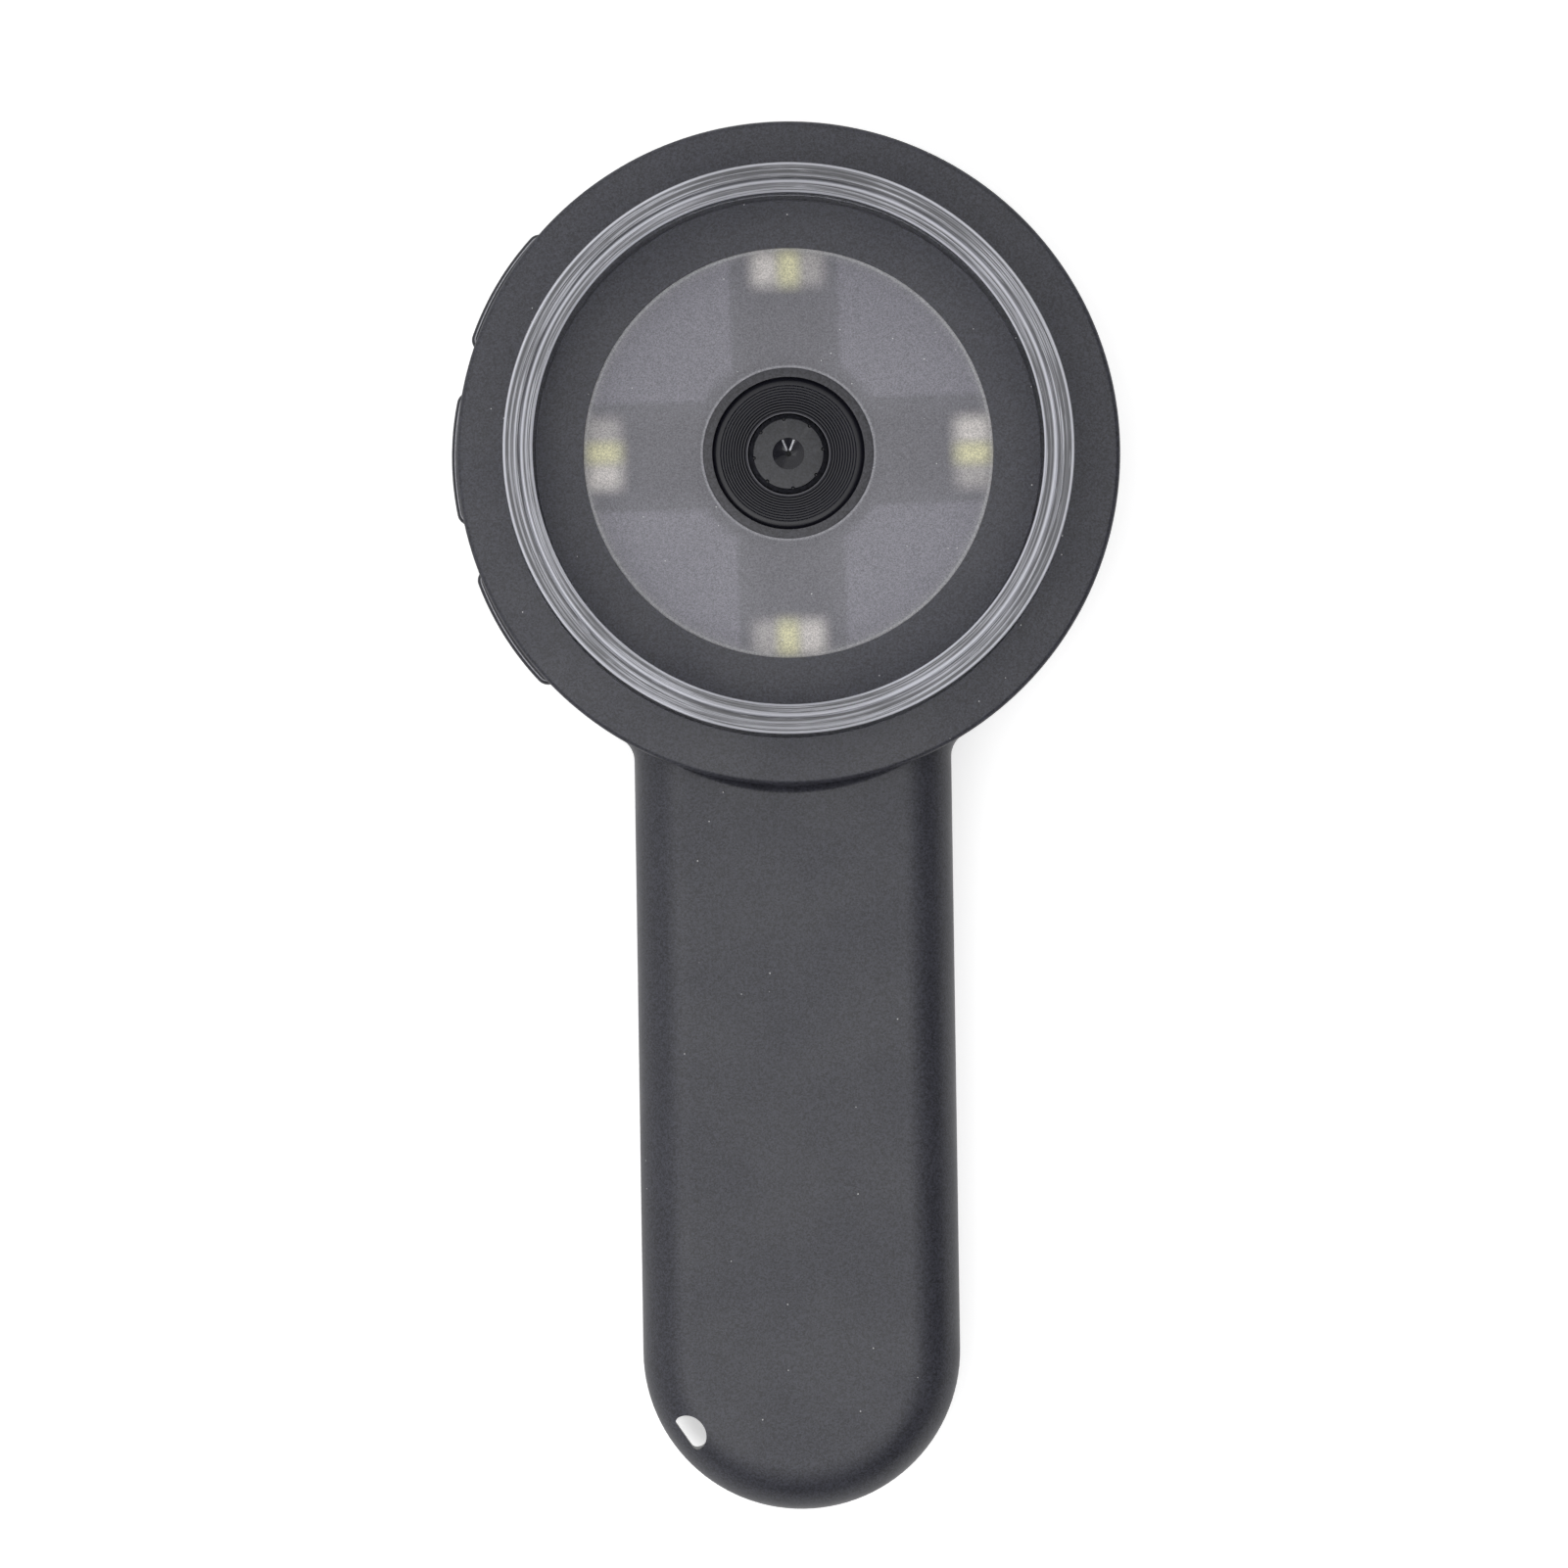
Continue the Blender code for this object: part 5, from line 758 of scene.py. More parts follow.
def frosted_window(settings):
    """The lamp window: frosted sheet with the lamp board's arms, its hub and four lamps dimly behind it, and
    painted light and shade near its edges.
    """
    material, net, shader = new_material("frosted_lamp_window")
    place = net.place()
    askew = net.node("ShaderNodeVectorRotate", {"Vector": place, "Angle": BOARD_SKEW}, rotation_type="Z_AXIS")
    apart = net.split(askew.outputs["Vector"])
    flat, radius = net.plan(askew.outputs["Vector"])
    hole, half, soft = settings.hole, settings.arm_width / 2, 0.42 * MM
    narrow = net.math("MINIMUM", net.math("ABSOLUTE", apart["X"]), net.math("ABSOLUTE", apart["Y"]))
    arms = net.ramp(narrow, half + soft, half - soft)
    middle = net.ramp(narrow, half, half * 0.45)
    hub = net.ramp(radius, hole + 2.2 * MM, hole + 0.9 * MM)
    shade = net.mix(net.math("MAXIMUM", arms, hub), settings.colour, settings.arm_colour)
    shade = net.mix(net.math("MULTIPLY", middle, arms), shade, scaled(settings.arm_colour, 0.91))
    # Painted shade: the window darkens just outside the hole round the lens collar.
    shade = net.mix(net.ramp(radius, hole + 1.5 * MM, hole + 0.4 * MM, 0.0, 0.35), shade,
                    scaled(settings.arm_colour, 0.75))
    # Painted highlight on the edge of the window's hole round the lens collar.
    rim = net.ramp(radius, hole + 0.36 * MM, hole + 0.16 * MM, 0.0, 0.36)
    shade = net.mix(rim, shade, (0.45, 0.45, 0.48))
    # Painted light: the window is lightened towards the bezel's edge, against the shade under the bezel's
    # lip.
    painted_seam_light = net.math("ADD", net.ramp(radius, BEZEL_RADIUS - 1.3 * MM, BEZEL_RADIUS, 0.0, 0.26),
                    net.ramp(radius, BEZEL_RADIUS - 0.45 * MM, BEZEL_RADIUS - 0.18 * MM, 0.0, 0.60))
    shade = net.mix(painted_seam_light, shade, (0.48, 0.48, 0.50))
    texture = net.group(group("grain"), {"Vector": place, "Grain Size": 0.10 * MM, "Patch Size": 6.0 * MM})
    for quarter in range(1, 5):
        turned = net.node("ShaderNodeVectorRotate", {"Vector": flat, "Angle": -math.pi / 2 * quarter},
                          rotation_type="Z_AXIS")
        moved = net.vector("SUBTRACT", turned.outputs["Vector"], (settings.lamp_radius, 0, 0))
        glow = net.group(group("lamp"), {"Vector": moved})
        shade = net.mix(glow.outputs["White"], shade, settings.lamp_colour)
        shade = net.mix(glow.outputs["Yellow"], shade, settings.phosphor_colour)
    mottle = net.math("ADD", net.math("MULTIPLY", texture.outputs["Speckle"], 0.76), 0.62)
    mottle_colour = net.node("ShaderNodeCombineColor", {"Red": mottle, "Green": mottle, "Blue": mottle})
    shade = net.mix(1.0, shade, mottle_colour.outputs["Color"], "MULTIPLY")
    shade = net.dusted(shade, (0.7, 0.7, 0.7),
                       {"Vector": place, "Spacing": 1.1 * MM, "Speck": 0.055, "Share": 0.28})
    net.feed(shader.inputs["Base Color"], shade)
    net.feed(shader.inputs["Roughness"], net.ramp(texture.outputs["Patch"], 0.3, 0.7, 0.46, 0.54))
    net.bump(shader, texture.outputs["Height"], 0.10, 0.04 * MM)
    return material


def screen_glass(settings):
    """Rear window: glossy sheet with a printed border round the dark picture area."""
    material, net, shader = new_material("screen_glass")
    place = net.place()
    apart = net.split(place)
    corner, soft = settings.view_corner, 0.04 * MM
    squares = []
    for axis, extent in (("X", settings.view_width), ("Y", settings.view_height)):
        past = net.math("SUBTRACT", net.math("ABSOLUTE", apart[axis]), extent / 2 - corner)
        past = net.math("MAXIMUM", past, 0.0)
        squares.append(net.math("MULTIPLY", past, past))
    away = net.math("SQRT", net.math("ADD", *squares))
    view = net.ramp(away, corner + soft, corner - soft)
    picture = net.mix(net.noise(place, 60.0, 2.0), settings.view_colour, scaled(settings.view_colour, 1.2))
    shade = net.dusted(net.mix(view, settings.border_colour, picture), (0.4, 0.4, 0.4),
                       {"Vector": place, "Spacing": 4.0 * MM, "Speck": 0.012, "Share": 0.15})
    net.feed(shader.inputs["Base Color"], shade)
    wipe = net.noise(place, 150.0, 4.0, distortion=0.6)
    net.feed(shader.inputs["Roughness"], net.ramp(wipe, 0.35, 0.75, 0.05, 0.11))
    shader.inputs["IOR"].default_value = 1.52
    return material


FINISHES = {
    "case_black": lambda s: moulded("case_plastic", s.case.colour, 0.42, grain=0.15 * MM, speckle=0.80,
                                   dust=0.18),
    "clear_acrylic": lambda s: clear("clear_acrylic", s.ring.colour, 0.05, ACRYLIC_IOR),
    "tray_white": lambda s: moulded("tray_plastic", (0.60, 0.60, 0.62), 0.55),
    "lamp_board": lambda s: moulded("lamp_board_mask", (0.24, 0.24, 0.26), 0.45, grain=0.12 * MM),
    "led_white": lambda s: moulded("lamp_ceramic", (0.80, 0.79, 0.76), 0.40, grain=0.05 * MM, speckle=0.04),
    "led_phosphor": lambda s: moulded("lamp_phosphor", (0.80, 0.72, 0.26), 0.50, grain=0.04 * MM),
    "lens_black": lambda s: moulded("lens_plastic", s.lens.colour, 0.27, grain=0.10 * MM, bump=0.10,
                                   drift=0.03, shine=0.38),
    "lens_glass": lambda s: clear("coated_glass", (0.020, 0.024, 0.040), 0.02, 1.24),
    "circuit_board": lambda s: moulded("board_mask", (0.02, 0.13, 0.06), 0.38, grain=0.25 * MM, drift=0.15),
    "chip_black": lambda s: moulded("chip_resin", (0.022, 0.022, 0.024), 0.58, grain=0.08 * MM),
    "steel": lambda s: metal("rolled_steel", (0.58, 0.58, 0.60), 0.28),
    "foam": lambda s: moulded("black_foam", (0.035, 0.035, 0.036), 0.90, grain=0.35 * MM, bump=0.7,
                              speckle=0.3),
    "socket_white": lambda s: moulded("connector_plastic", (0.74, 0.72, 0.66), 0.48, grain=0.09 * MM),
    "cell_foil": lambda s: metal("cell_foil", (0.66, 0.67, 0.69), 0.32, scratch=0.20),
    "lead_red": lambda s: moulded("red_insulation", (0.55, 0.03, 0.02), 0.42, grain=0.06 * MM),
    "lead_black": lambda s: moulded("black_insulation", (0.018, 0.018, 0.018), 0.42, grain=0.06 * MM),
    "flex_film": lambda s: moulded("flex_film", (0.50, 0.24, 0.05), 0.30, grain=0.15 * MM, bump=0.08),
}
MATERIALS = {}


def finish_for(slot):
    """The material of a slot, made once."""
    if slot not in MATERIALS:
        MATERIALS[slot] = FINISHES[slot](bpy.context.scene.magnifier)
    return MATERIALS[slot]


# Case


def draw_handle_side(bm, case, inset, steps):
    """Draws the left neck fillet, the handle round its end and the right neck fillet. Gives the drawn end and
    the angle at which the fillets meet the head."""
    x = case.half_width + case.neck_fillet
    y = -math.sqrt((HEAD_RADIUS + case.neck_fillet) ** 2 - x ** 2)
    meet = math.atan2(y, x)
    fillet = case.neck_fillet + inset
    half = case.half_width - inset
    vert = bm.verts.new((-x + fillet * math.cos(-meet), y + fillet * math.sin(-meet), 0))
    vert = pen_arc(bm, vert, (-x, y), meet, steps // 8)
    vert = pen_line(bm, vert, -half, -case.reach)
    vert = pen_arc(bm, vert, (0, -case.reach), math.pi, steps // 2)
    vert = pen_line(bm, vert, half, y)
    vert = pen_arc(bm, vert, (x, y), meet, steps // 8)
    return vert, meet


def handle_solid(case, inset, bottom, top, rounding, segments):
    """The handle as a prism that is closed deep inside the head, its front edge rounded outside the head."""
    root = HEAD_INSIDE / 2
    bm = bmesh.new()
    vert, meet = draw_handle_side(bm, case, inset, case.head_steps // 2)
    vert = pen_line(bm, vert, root * math.cos(meet), root * math.sin(meet))
    vert = pen_arc(bm, vert, (0, 0), -(math.pi + 2 * meet), 12)
    bm.verts.ensure_lookup_table()
    first = bm.verts[0]
    pen_line(bm, vert, first.co.x, first.co.y)
    close_outline(bm)
    raise_outline(bm, bottom, top)
    round_rim(bm, top, rounding, segments, HEAD_RADIUS - inset - 0.01 * MM)
    return bm


def housing_solid(case, inset, bottom, top):
    """The whole case outline as a prism."""
    bm = bmesh.new()
    vert, meet = draw_handle_side(bm, case, inset, case.head_steps // 2)
    share = (math.pi - 2 * meet) / FULL_TURN
    pen_arc(bm, vert, (0, 0), math.pi - 2 * meet, round(case.head_steps * share))
    close_outline(bm)
    raise_outline(bm, bottom, top)
    return bm


def lanyard_solid(case, wall, bottom, top):
    """The D-shaped lanyard hole's space, a wall larger than the hole. It widens towards the back."""
    def growth(level):
        return wall + LANYARD_SPREAD * (1 - level / case.handle_top)

    half_length, half_width = LANYARD_HALF_LENGTH + growth(top), LANYARD_HALF_WIDTH + growth(top)
    corner = half_width / 2
    bow = 2 * half_width - corner
    bm = bmesh.new()
    start = bm.verts.new((half_width, half_length - corner, 0))
    vert = pen_arc(bm, start, (half_width - corner, half_length - corner), math.pi / 2, 10)
    steps = 24
    for step in range(1, steps):
        angle = math.pi / 2 + math.pi * step / steps
        vert = pen_line(bm, vert, half_width - corner + bow * math.cos(angle), half_length * math.sin(angle))
    vert = pen_line(bm, vert, half_width - corner, -half_length)
    vert = pen_arc(bm, vert, (half_width - corner, corner - half_length), math.pi / 2, 10)
    pen_line(bm, vert, start.co.x, start.co.y)
    close_outline(bm)
    raise_outline(bm, bottom, top)
    wide = (LANYARD_HALF_WIDTH + growth(bottom)) / half_width
    long = (LANYARD_HALF_LENGTH + growth(bottom)) / half_length
    low = [vert for vert in bm.verts if vert.co.z < (bottom + top) / 2]
    bmesh.ops.scale(bm, vec=(wide, long, 1.0), verts=low)
    bm.transform(Matrix.Translation((0, -case.reach, 0)) @ Matrix.Rotation(LANYARD_TURN, 4, "Z")
                 @ Matrix.Translation((LANYARD_FROM_END, 0, 0)))
    return bm


def side_openings(settings):
    """The spaces of the key slots, the two socket mouths and the lanyard hole."""
    keys, case = settings.keys, settings.case
    tools = []
    for name, turn in KEY_TURNS.items():
        turn += KEY_CAP_SHIFTS[name][0]
        chord = keys.chord + 2 * GAP
        inner = math.sqrt(HEAD_INSIDE ** 2 - (chord / 2) ** 2) - OVERRUN
        outer = keys.outer + OVERRUN
        size = (outer - inner, chord, keys.height + 2 * GAP)
        slot = block(size, ((inner + outer) / 2, 0, PARTING))
        ends = [edge for edge in slot.edges if abs(edge.verts[0].co.x - edge.verts[1].co.x) > OVERRUN]
        bevel(slot, ends, 0.35 * MM, 4, clamp_overlap=True)
        slot.transform(Matrix.Rotation(turn, 4, "Z"))
        tools.append(slot)
    start = HEAD_INSIDE / 2
    reach = HEAD_RADIUS + OVERRUN - start
    usb, card = bmesh.new(), bmesh.new()
    draw_stadium(usb, *USB_MOUTH, 16)
    draw_rectangle(card, *CARD_MOUTH, 0.55 * MM, 6)
    for mouth, turn, middle in ((usb, 0.0, USB_MIDDLE), (card, CARD_TURN, CARD_MIDDLE)):
        raise_outline(mouth, 0.0, reach)
        tools.append(lay_outwards(mouth, start, turn, SEAT_LEVEL + middle))
    tools.append(lanyard_solid(case, 0.0, -OVERRUN, case.handle_top + OVERRUN))
    return together(*tools)


def board_post_places():
    """Plan positions of the posts that carry the main board, from their screws."""
    places = []
    for name in BOARD_SCREWS:
        low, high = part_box(name)
        places.append(((low.x + high.x) / 2, (low.y + high.y) / 2))
    return places


def front_case(settings):
    """Front half of the case: round face with its bezel and ring groove, the handle's front and its posts."""
    case = settings.case
    edge, low = case.head_edge, PARTING
    groove = HEAD_TOP - 1.4 * MM
    ring_inner = RING_OUTER - RING_SEAT
    lip = WINDOW_FACE + 0.03 * MM
    section = [(HEAD_RADIUS - case.parting_edge, low), (HEAD_RADIUS, low + case.parting_edge),
               (HEAD_RADIUS, HEAD_TOP - case.crown), (RING_OUTER + GAP, HEAD_TOP), (RING_OUTER + GAP, groove),
               (ring_inner - GAP, groove), (ring_inner - GAP, HEAD_TOP), (BEZEL_RADIUS, HEAD_TOP),
               (BEZEL_RADIUS, lip), (DIFFUSER_RADIUS + GAP, lip), (DIFFUSER_RADIUS + GAP, CEILING),
               (HEAD_INSIDE, CEILING), (HEAD_INSIDE, low)]
    fine = 0.1 * MM
    head = spin_section(section, case.head_steps,
                        ((2, edge, 6), (3, fine, 2), (6, fine, 2), (7, 0.06 * MM, 2)))
    handle = handle_solid(case, 0.0, low, case.handle_top, case.front_round, 14)
    round_rim(handle, low, case.parting_edge, 1, HEAD_RADIUS - 0.01 * MM)
    heart = rod(HEAD_RADIUS - WALL / 2, low - OVERRUN, HEAD_TOP, (0, 0), case.head_steps)
    bed = case.handle_top - case.neck_groove
    bow = 10.0 * MM
    foot = HEAD_RADIUS - bow
    shore = foot + 0.95 * MM
    groove_section = [(foot - OVERRUN, case.handle_top + OVERRUN), (foot - OVERRUN, bed),
                      (foot + 0.04 * MM, bed), (foot + 0.46 * MM, case.handle_top - 0.12 * MM),
                      (shore, case.handle_top + 0.005 * MM), (shore, case.handle_top + OVERRUN)]
    channel = spin_section(groove_section, case.head_steps, ((3, 0.25 * MM, 5),))
    bmesh.ops.translate(channel, vec=(0, -bow, 0), verts=channel.verts)
    handle = carve(handle, [("DIFFERENCE", heart), ("DIFFERENCE", channel)])
    ceiling = case.handle_top - WALL
    space = handle_solid(case, WALL, low - OVERRUN, ceiling, case.front_round - WALL, 6)
    tube = lanyard_solid(case, RIB, low - 2 * OVERRUN, ceiling + ROOT)
    space = carve(space, [("DIFFERENCE", tube)])
    rabbet = housing_solid(case, RABBET_INSET, low - OVERRUN, low + RABBET)
    posts = [rod(BOARD_POST, SEAT_LEVEL, CEILING + ROOT, place) for place in board_post_places()]
    posts += [rod(CASE_POST, low, ceiling + ROOT, place) for place in SCREW_PLACES.values()]
    pilots = [rod(BOARD_PILOT, SEAT_LEVEL - OVERRUN, SEAT_LEVEL + BOARD_PILOT_DEPTH, place)
              for place in board_post_places()]
    pilots += [rod(CASE_PILOT, low - OVERRUN, low + CASE_PILOT_DEPTH, place)
               for place in SCREW_PLACES.values()]
    cell_low, cell_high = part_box("battery_cell")
    length = cell_high.y - cell_low.y
    for side in (-1, 1):
        y = (cell_low.y + cell_high.y) / 2 + side * length * 0.24
        bottom = cell_high.z + GAP
        size = (2 * (case.half_width - case.front_round), RIB, ceiling + ROOT - bottom)
        posts.append(block(size, (0, y, bottom + size[2] / 2)))
    shell = carve(head, [("UNION", handle), ("DIFFERENCE", space), ("DIFFERENCE", rabbet),
                         ("UNION", together(*posts)), ("DIFFERENCE", together(*pilots)),
                         ("DIFFERENCE", side_openings(settings))])
    finish_piece("front_case", shell, "case_black", ["front_shell"], weighted=True)


def rear_case(settings):
    """Rear half of the case: tray with the screen recess, tongue, screw bosses and counterbores."""
    case = settings.case
    tray = housing_solid(case, 0.0, 0.0, PARTING)
    round_rim(tray, 0.0, case.back_round, 12)
    round_rim(tray, PARTING, case.parting_edge, 1)
    tongue_top = PARTING + RABBET - GAP
    tongue = housing_solid(case, RABBET_INSET + GAP, PARTING - ROOT, tongue_top)
    space = housing_solid(case, WALL, REAR_WALL, tongue_top + OVERRUN)
    round_rim(space, REAR_WALL, case.back_round - WALL, 5)
    low = REAR_WALL - ROOT
    tube = lanyard_solid(case, RIB, low, tongue_top + 2 * OVERRUN)
    space = carve(space, [("DIFFERENCE", tube)])
    places = SCREW_PLACES.values()
    bosses = [rod(CASE_BOSS, low, PARTING - GAP, place) for place in places]
    cell_low, cell_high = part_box("battery_cell")
    fence_top = (cell_low.z + cell_high.z) / 2
    for side in (-1, 1):
        size = (RIB, cell_high.y - cell_low.y, fence_top - low)
        x = side * (cell_high.x + GAP + size[0] / 2)
        bosses.append(block(size, (x, (cell_low.y + cell_high.y) / 2, (fence_top + low) / 2)))
    holes = [rod(CASE_PILOT, 1.5 * MM, PARTING + OVERRUN, place) for place in places]
    bores = [rod(SCREW_BORE, -OVERRUN, 3.0 * MM, place, 48) for place in places]
    recess = rod(WINDOW_RADIUS + GAP, -OVERRUN, WINDOW_TOP + GAP, (0, 0), case.head_steps)
    view = bmesh.new()
    screen = settings.screen
    draw_rectangle(view, screen.view_width, screen.view_height, screen.view_corner, 8)
    raise_outline(view, 0.0, REAR_WALL + OVERRUN)
    shell = carve(tray, [("UNION", tongue), ("DIFFERENCE", space), ("UNION", together(*bosses)),
                         ("DIFFERENCE", together(*holes)), ("DIFFERENCE", together(*bores)),
                         ("DIFFERENCE", recess), ("DIFFERENCE", view),
                         ("DIFFERENCE", side_openings(settings))])
    finish_piece("rear_case", shell, "case_black", ["rear_shell"], weighted=True)


# Ring, lamp window and lens


def stand_off_ring(settings):
    """Clear ring: its face falls in one step. The face, the step and both edges carry painted reflection
    lines, and the step and edges are a little less clear.
    """
    ring = settings.ring
    top, low = RING_TOP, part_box("clear_ring")[0].z
    foot = RING_OUTER - ring.width
    inner, chamfer = foot - ring.lean, 0.16 * MM
    shelf = top - ring.step
    middle = (RING_OUTER + inner) / 2 - 0.30 * MM
    section = [(RING_OUTER, low), (RING_OUTER, top - chamfer), (RING_OUTER - chamfer, top),
               (middle + 0.30 * MM, top), (middle, shelf), (inner + chamfer, shelf),
               (inner, shelf - chamfer), (foot, low)]
    solid = spin_section(section, settings.case.head_steps)
    for face in solid.faces:
        if face.normal.z > 0.99:
            face.material_index = 1
        elif face.normal.z > 0.3:
            face.material_index = 2
    faces = (painted_ring_acrylic("satin_acrylic_painted_reflections", ring, 0.35), painted_ring_acrylic("ground_acrylic_painted_reflections", ring, 0.25))
    finish_piece("stand_off_ring", solid, "clear_acrylic", ["clear_ring"], more=faces)


def lamp_window(settings):
    """Frosted disc under the bezel with the hole for the lens collar."""
    hole = settings.light.hole
    top, chamfer = WINDOW_FACE, 0.05 * MM
    section = [(DIFFUSER_RADIUS, DIFFUSER_LOW), (DIFFUSER_RADIUS, top), (hole + chamfer, top),
               (hole, top - chamfer), (hole, DIFFUSER_LOW)]
    disc = spin_section(section, settings.case.head_steps, ((1, 0.1 * MM, 2),))
    finish_piece("lamp_window", disc, "frosted_acrylic", ["diffuser"],
                 material=frosted_window(settings.light))


def lens_funnel(settings):
    """Black funnel: matt collar, finely ridged dish, raised lip round the throat with a painted highlight,
    skirt and shoulder.
    """
    lens = settings.lens
    collar, inner = lens.collar, lens.collar - 0.65 * MM
    dish, throat = inner - 0.7 * MM, lens.barrel + 0.48 * MM
    drop, lip = 0.15 * MM, 0.12 * MM
    rise = COLLAR_FACE - 0.52 * MM
    floor = rise - lens.ridges * drop
    shoulder, shoulder_low, shoulder_radius = 13.2 * MM, 12.0 * MM, 10.3 * MM
    skirt, web = collar - 1.2 * MM, 3.0 * MM
    wide = settings.light.hole - 0.01 * MM
    section = [(inner, COLLAR_FACE), (wide, COLLAR_FACE), (wide, DIFFUSER_LOW),
               (collar, DIFFUSER_LOW - GAP), (collar, shoulder), (shoulder_radius, shoulder),
               (shoulder_radius, shoulder_low), (collar, shoulder_low), (collar, SEAT_LEVEL),
               (skirt, SEAT_LEVEL), (skirt, floor - web), (throat, floor - web), (throat, floor),
               (throat + lip / 2, floor + lip), (throat + 1.5 * lip, floor + lip),
               (throat + 2.2 * lip, floor)]
    radius, level = throat + 2.6 * lip, floor
    pitch = (dish - radius) / lens.ridges
    for _ in range(lens.ridges):
        section += [(radius, level), (radius + 0.50 * pitch, level + drop)]
        radius, level = radius + pitch, level + drop
    section += [(dish + 0.12 * MM, rise), (inner - 0.20 * MM, rise - 0.14 * MM),
                (inner - 0.08 * MM, rise - 0.22 * MM)]
    funnel = spin_section(section, 192, ((1, 0.06 * MM, 2),))
    for face in funnel.faces:
        reach = face.calc_center_median().xy.length
        if face.normal.z > 0.5 and reach > inner:
            face.material_index = 1
        elif face.normal.z > 0.5 and reach < throat + 2.2 * lip:
            face.material_index = 2
    matt = moulded("collar_plastic", lens.collar_colour, 0.45, grain=0.15 * MM, speckle=0.85)
    # A lighter copy of the collar's plastic, as a painted highlight on the lip round the throat.
    painted_highlight = moulded("lip_painted_highlight", scaled(lens.collar_colour, 2.0), 0.30, grain=0.10 * MM)
    finish_piece("ridged_funnel", funnel, "lens_black", ["lens_funnel"], more=(matt, painted_highlight))


def lens_barrel(settings):
    """Camera barrel: a matt face with bites in its rim, a polished faceted cone, and two pale strips on it
    that stand for a painted V-shaped glint.
    """
    lens = settings.lens
    bore = lens.barrel - 1.0 * MM
    tip = BARREL_TOP - (lens.eye - lens.pinhole) * math.tan(EYE_SLOPE)
    inside_top = tip - 0.4 * MM
    flange, flange_top = lens.barrel + 0.42 * MM, BARREL_TOP - 0.45 * MM
    flange_low = flange_top - 0.9 * MM
    section = [(lens.pinhole, BARREL_TOP), (lens.barrel, BARREL_TOP), (lens.barrel, flange_top),
               (flange, flange_top - 0.5 * MM), (flange, flange_low), (lens.barrel, flange_low),
               (lens.barrel, BARREL_LOW), (bore, BARREL_LOW), (bore, inside_top), (lens.pinhole, inside_top)]
    barrel = spin_section(section, 96, ((1, 0.1 * MM, 3),))
    bites = []
    for index in range(lens.notches):
        angle = FULL_TURN * (index + 0.15) / lens.notches
        reach = lens.barrel - 0.08 * MM
        place = (reach * math.cos(angle), reach * math.sin(angle))
        bites.append(rod(0.30 * MM, BARREL_TOP - 0.4 * MM, BARREL_TOP + 0.3 * MM, place, 12, 0.3))
    above, corner = 0.2 * MM, math.cos(math.pi / EYE_SIDES)
    reach = lens.eye + above / math.tan(EYE_SLOPE)
    cone = bmesh.new()
    bmesh.ops.create_cone(cone, cap_ends=True, segments=EYE_SIDES, radius1=lens.pinhole / corner,
                          radius2=reach / corner, depth=BARREL_TOP + above - tip)
    bmesh.ops.translate(cone, vec=(0, 0, (BARREL_TOP + above + tip) / 2), verts=cone.verts)
    cone.transform(Matrix.Rotation(math.pi / EYE_SIDES, 4, "Z"))
    cone = carve(cone, [("INTERSECT", rod(lens.eye, tip - OVERRUN, BARREL_TOP + OVERRUN, (0, 0), 64))])
    barrel = carve(barrel, [("DIFFERENCE", together(*bites)), ("DIFFERENCE", cone)])
    for face in barrel.faces:
        centre = face.calc_center_median()
        if face.normal.z > 0.6 and (centre.z > BARREL_TOP - WELD or centre.xy.length > lens.barrel):
            face.material_index = 1
        elif face.normal.z > 0.5 and centre.xy.length < lens.eye:
            face.material_index = 2
    matt = moulded("barrel_face", lens.face_colour, 0.38, grain=0.16 * MM, speckle=0.85)
    polish = moulded("eye_polish", lens.cone_colour, 0.12, grain=0.08 * MM, bump=0.03)
    finish_piece("camera_barrel", barrel, "lens_black", ["lens_barrel"], more=(matt, polish))
    # Two pale metal strips along the cone stand for a painted V-shaped glint.
    edges = []
    run, fall = 0.86 * (lens.eye - lens.pinhole), 0.86 * (BARREL_TOP - tip)
    tilt = Matrix.Rotation(-math.atan2(fall, run), 4, "Y")
    middle = Matrix.Translation(((lens.eye + lens.pinhole) / 2, 0, (BARREL_TOP + tip) / 2 + 0.01 * MM))
    for side in (-1, 1):
        edge = block((math.hypot(run, fall), 0.21 * MM, 0.04 * MM), (0, 0, 0), 0.0, 0.01 * MM, 1)
        edge.transform(Matrix.Rotation(math.pi / 2 + side * math.pi / EYE_SIDES, 4, "Z") @ middle @ tilt)
        edges.append(edge)
    bright = metal("painted_glint_metal", (0.85, 0.86, 0.90), 0.30)
    finish_piece("eye_painted_glints", together(*edges), "steel", material=bright)


def front_lens():
    """Domed front lens behind the eye."""
    low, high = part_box("front_lens")
    radius, crown = high.x, 0.45 * MM
    bm = bmesh.new()
    vert = bm.verts.new((0, 0, high.z))
    sphere = (radius ** 2 + crown ** 2) / (2 * crown)
    angle = math.asin(radius / sphere)
    swept = bmesh.ops.spin(bm, geom=[vert], cent=(0, 0, high.z - sphere), axis=(0, 1, 0), dvec=(0, 0, 0),
                           angle=angle, steps=10, use_merge=False, use_duplicate=False)
    rim = verts_of(swept, "geom_last")[0]
    mirrored = bmesh.ops.mirror(bm, geom=bm.verts[:] + bm.edges[:], axis="Z", merge_dist=-1.0,
                                matrix=Matrix.Translation((0, 0, -(low.z + high.z) / 2)))
    other = max(verts_of(mirrored), key=lambda item: item.co.x)
    bm.edges.new((rim, other))
    spin_outline(bm, 64)
    finish_piece("eye_lens", bm, "lens_glass", ["front_lens"])


# Keys, screen, screws and sockets


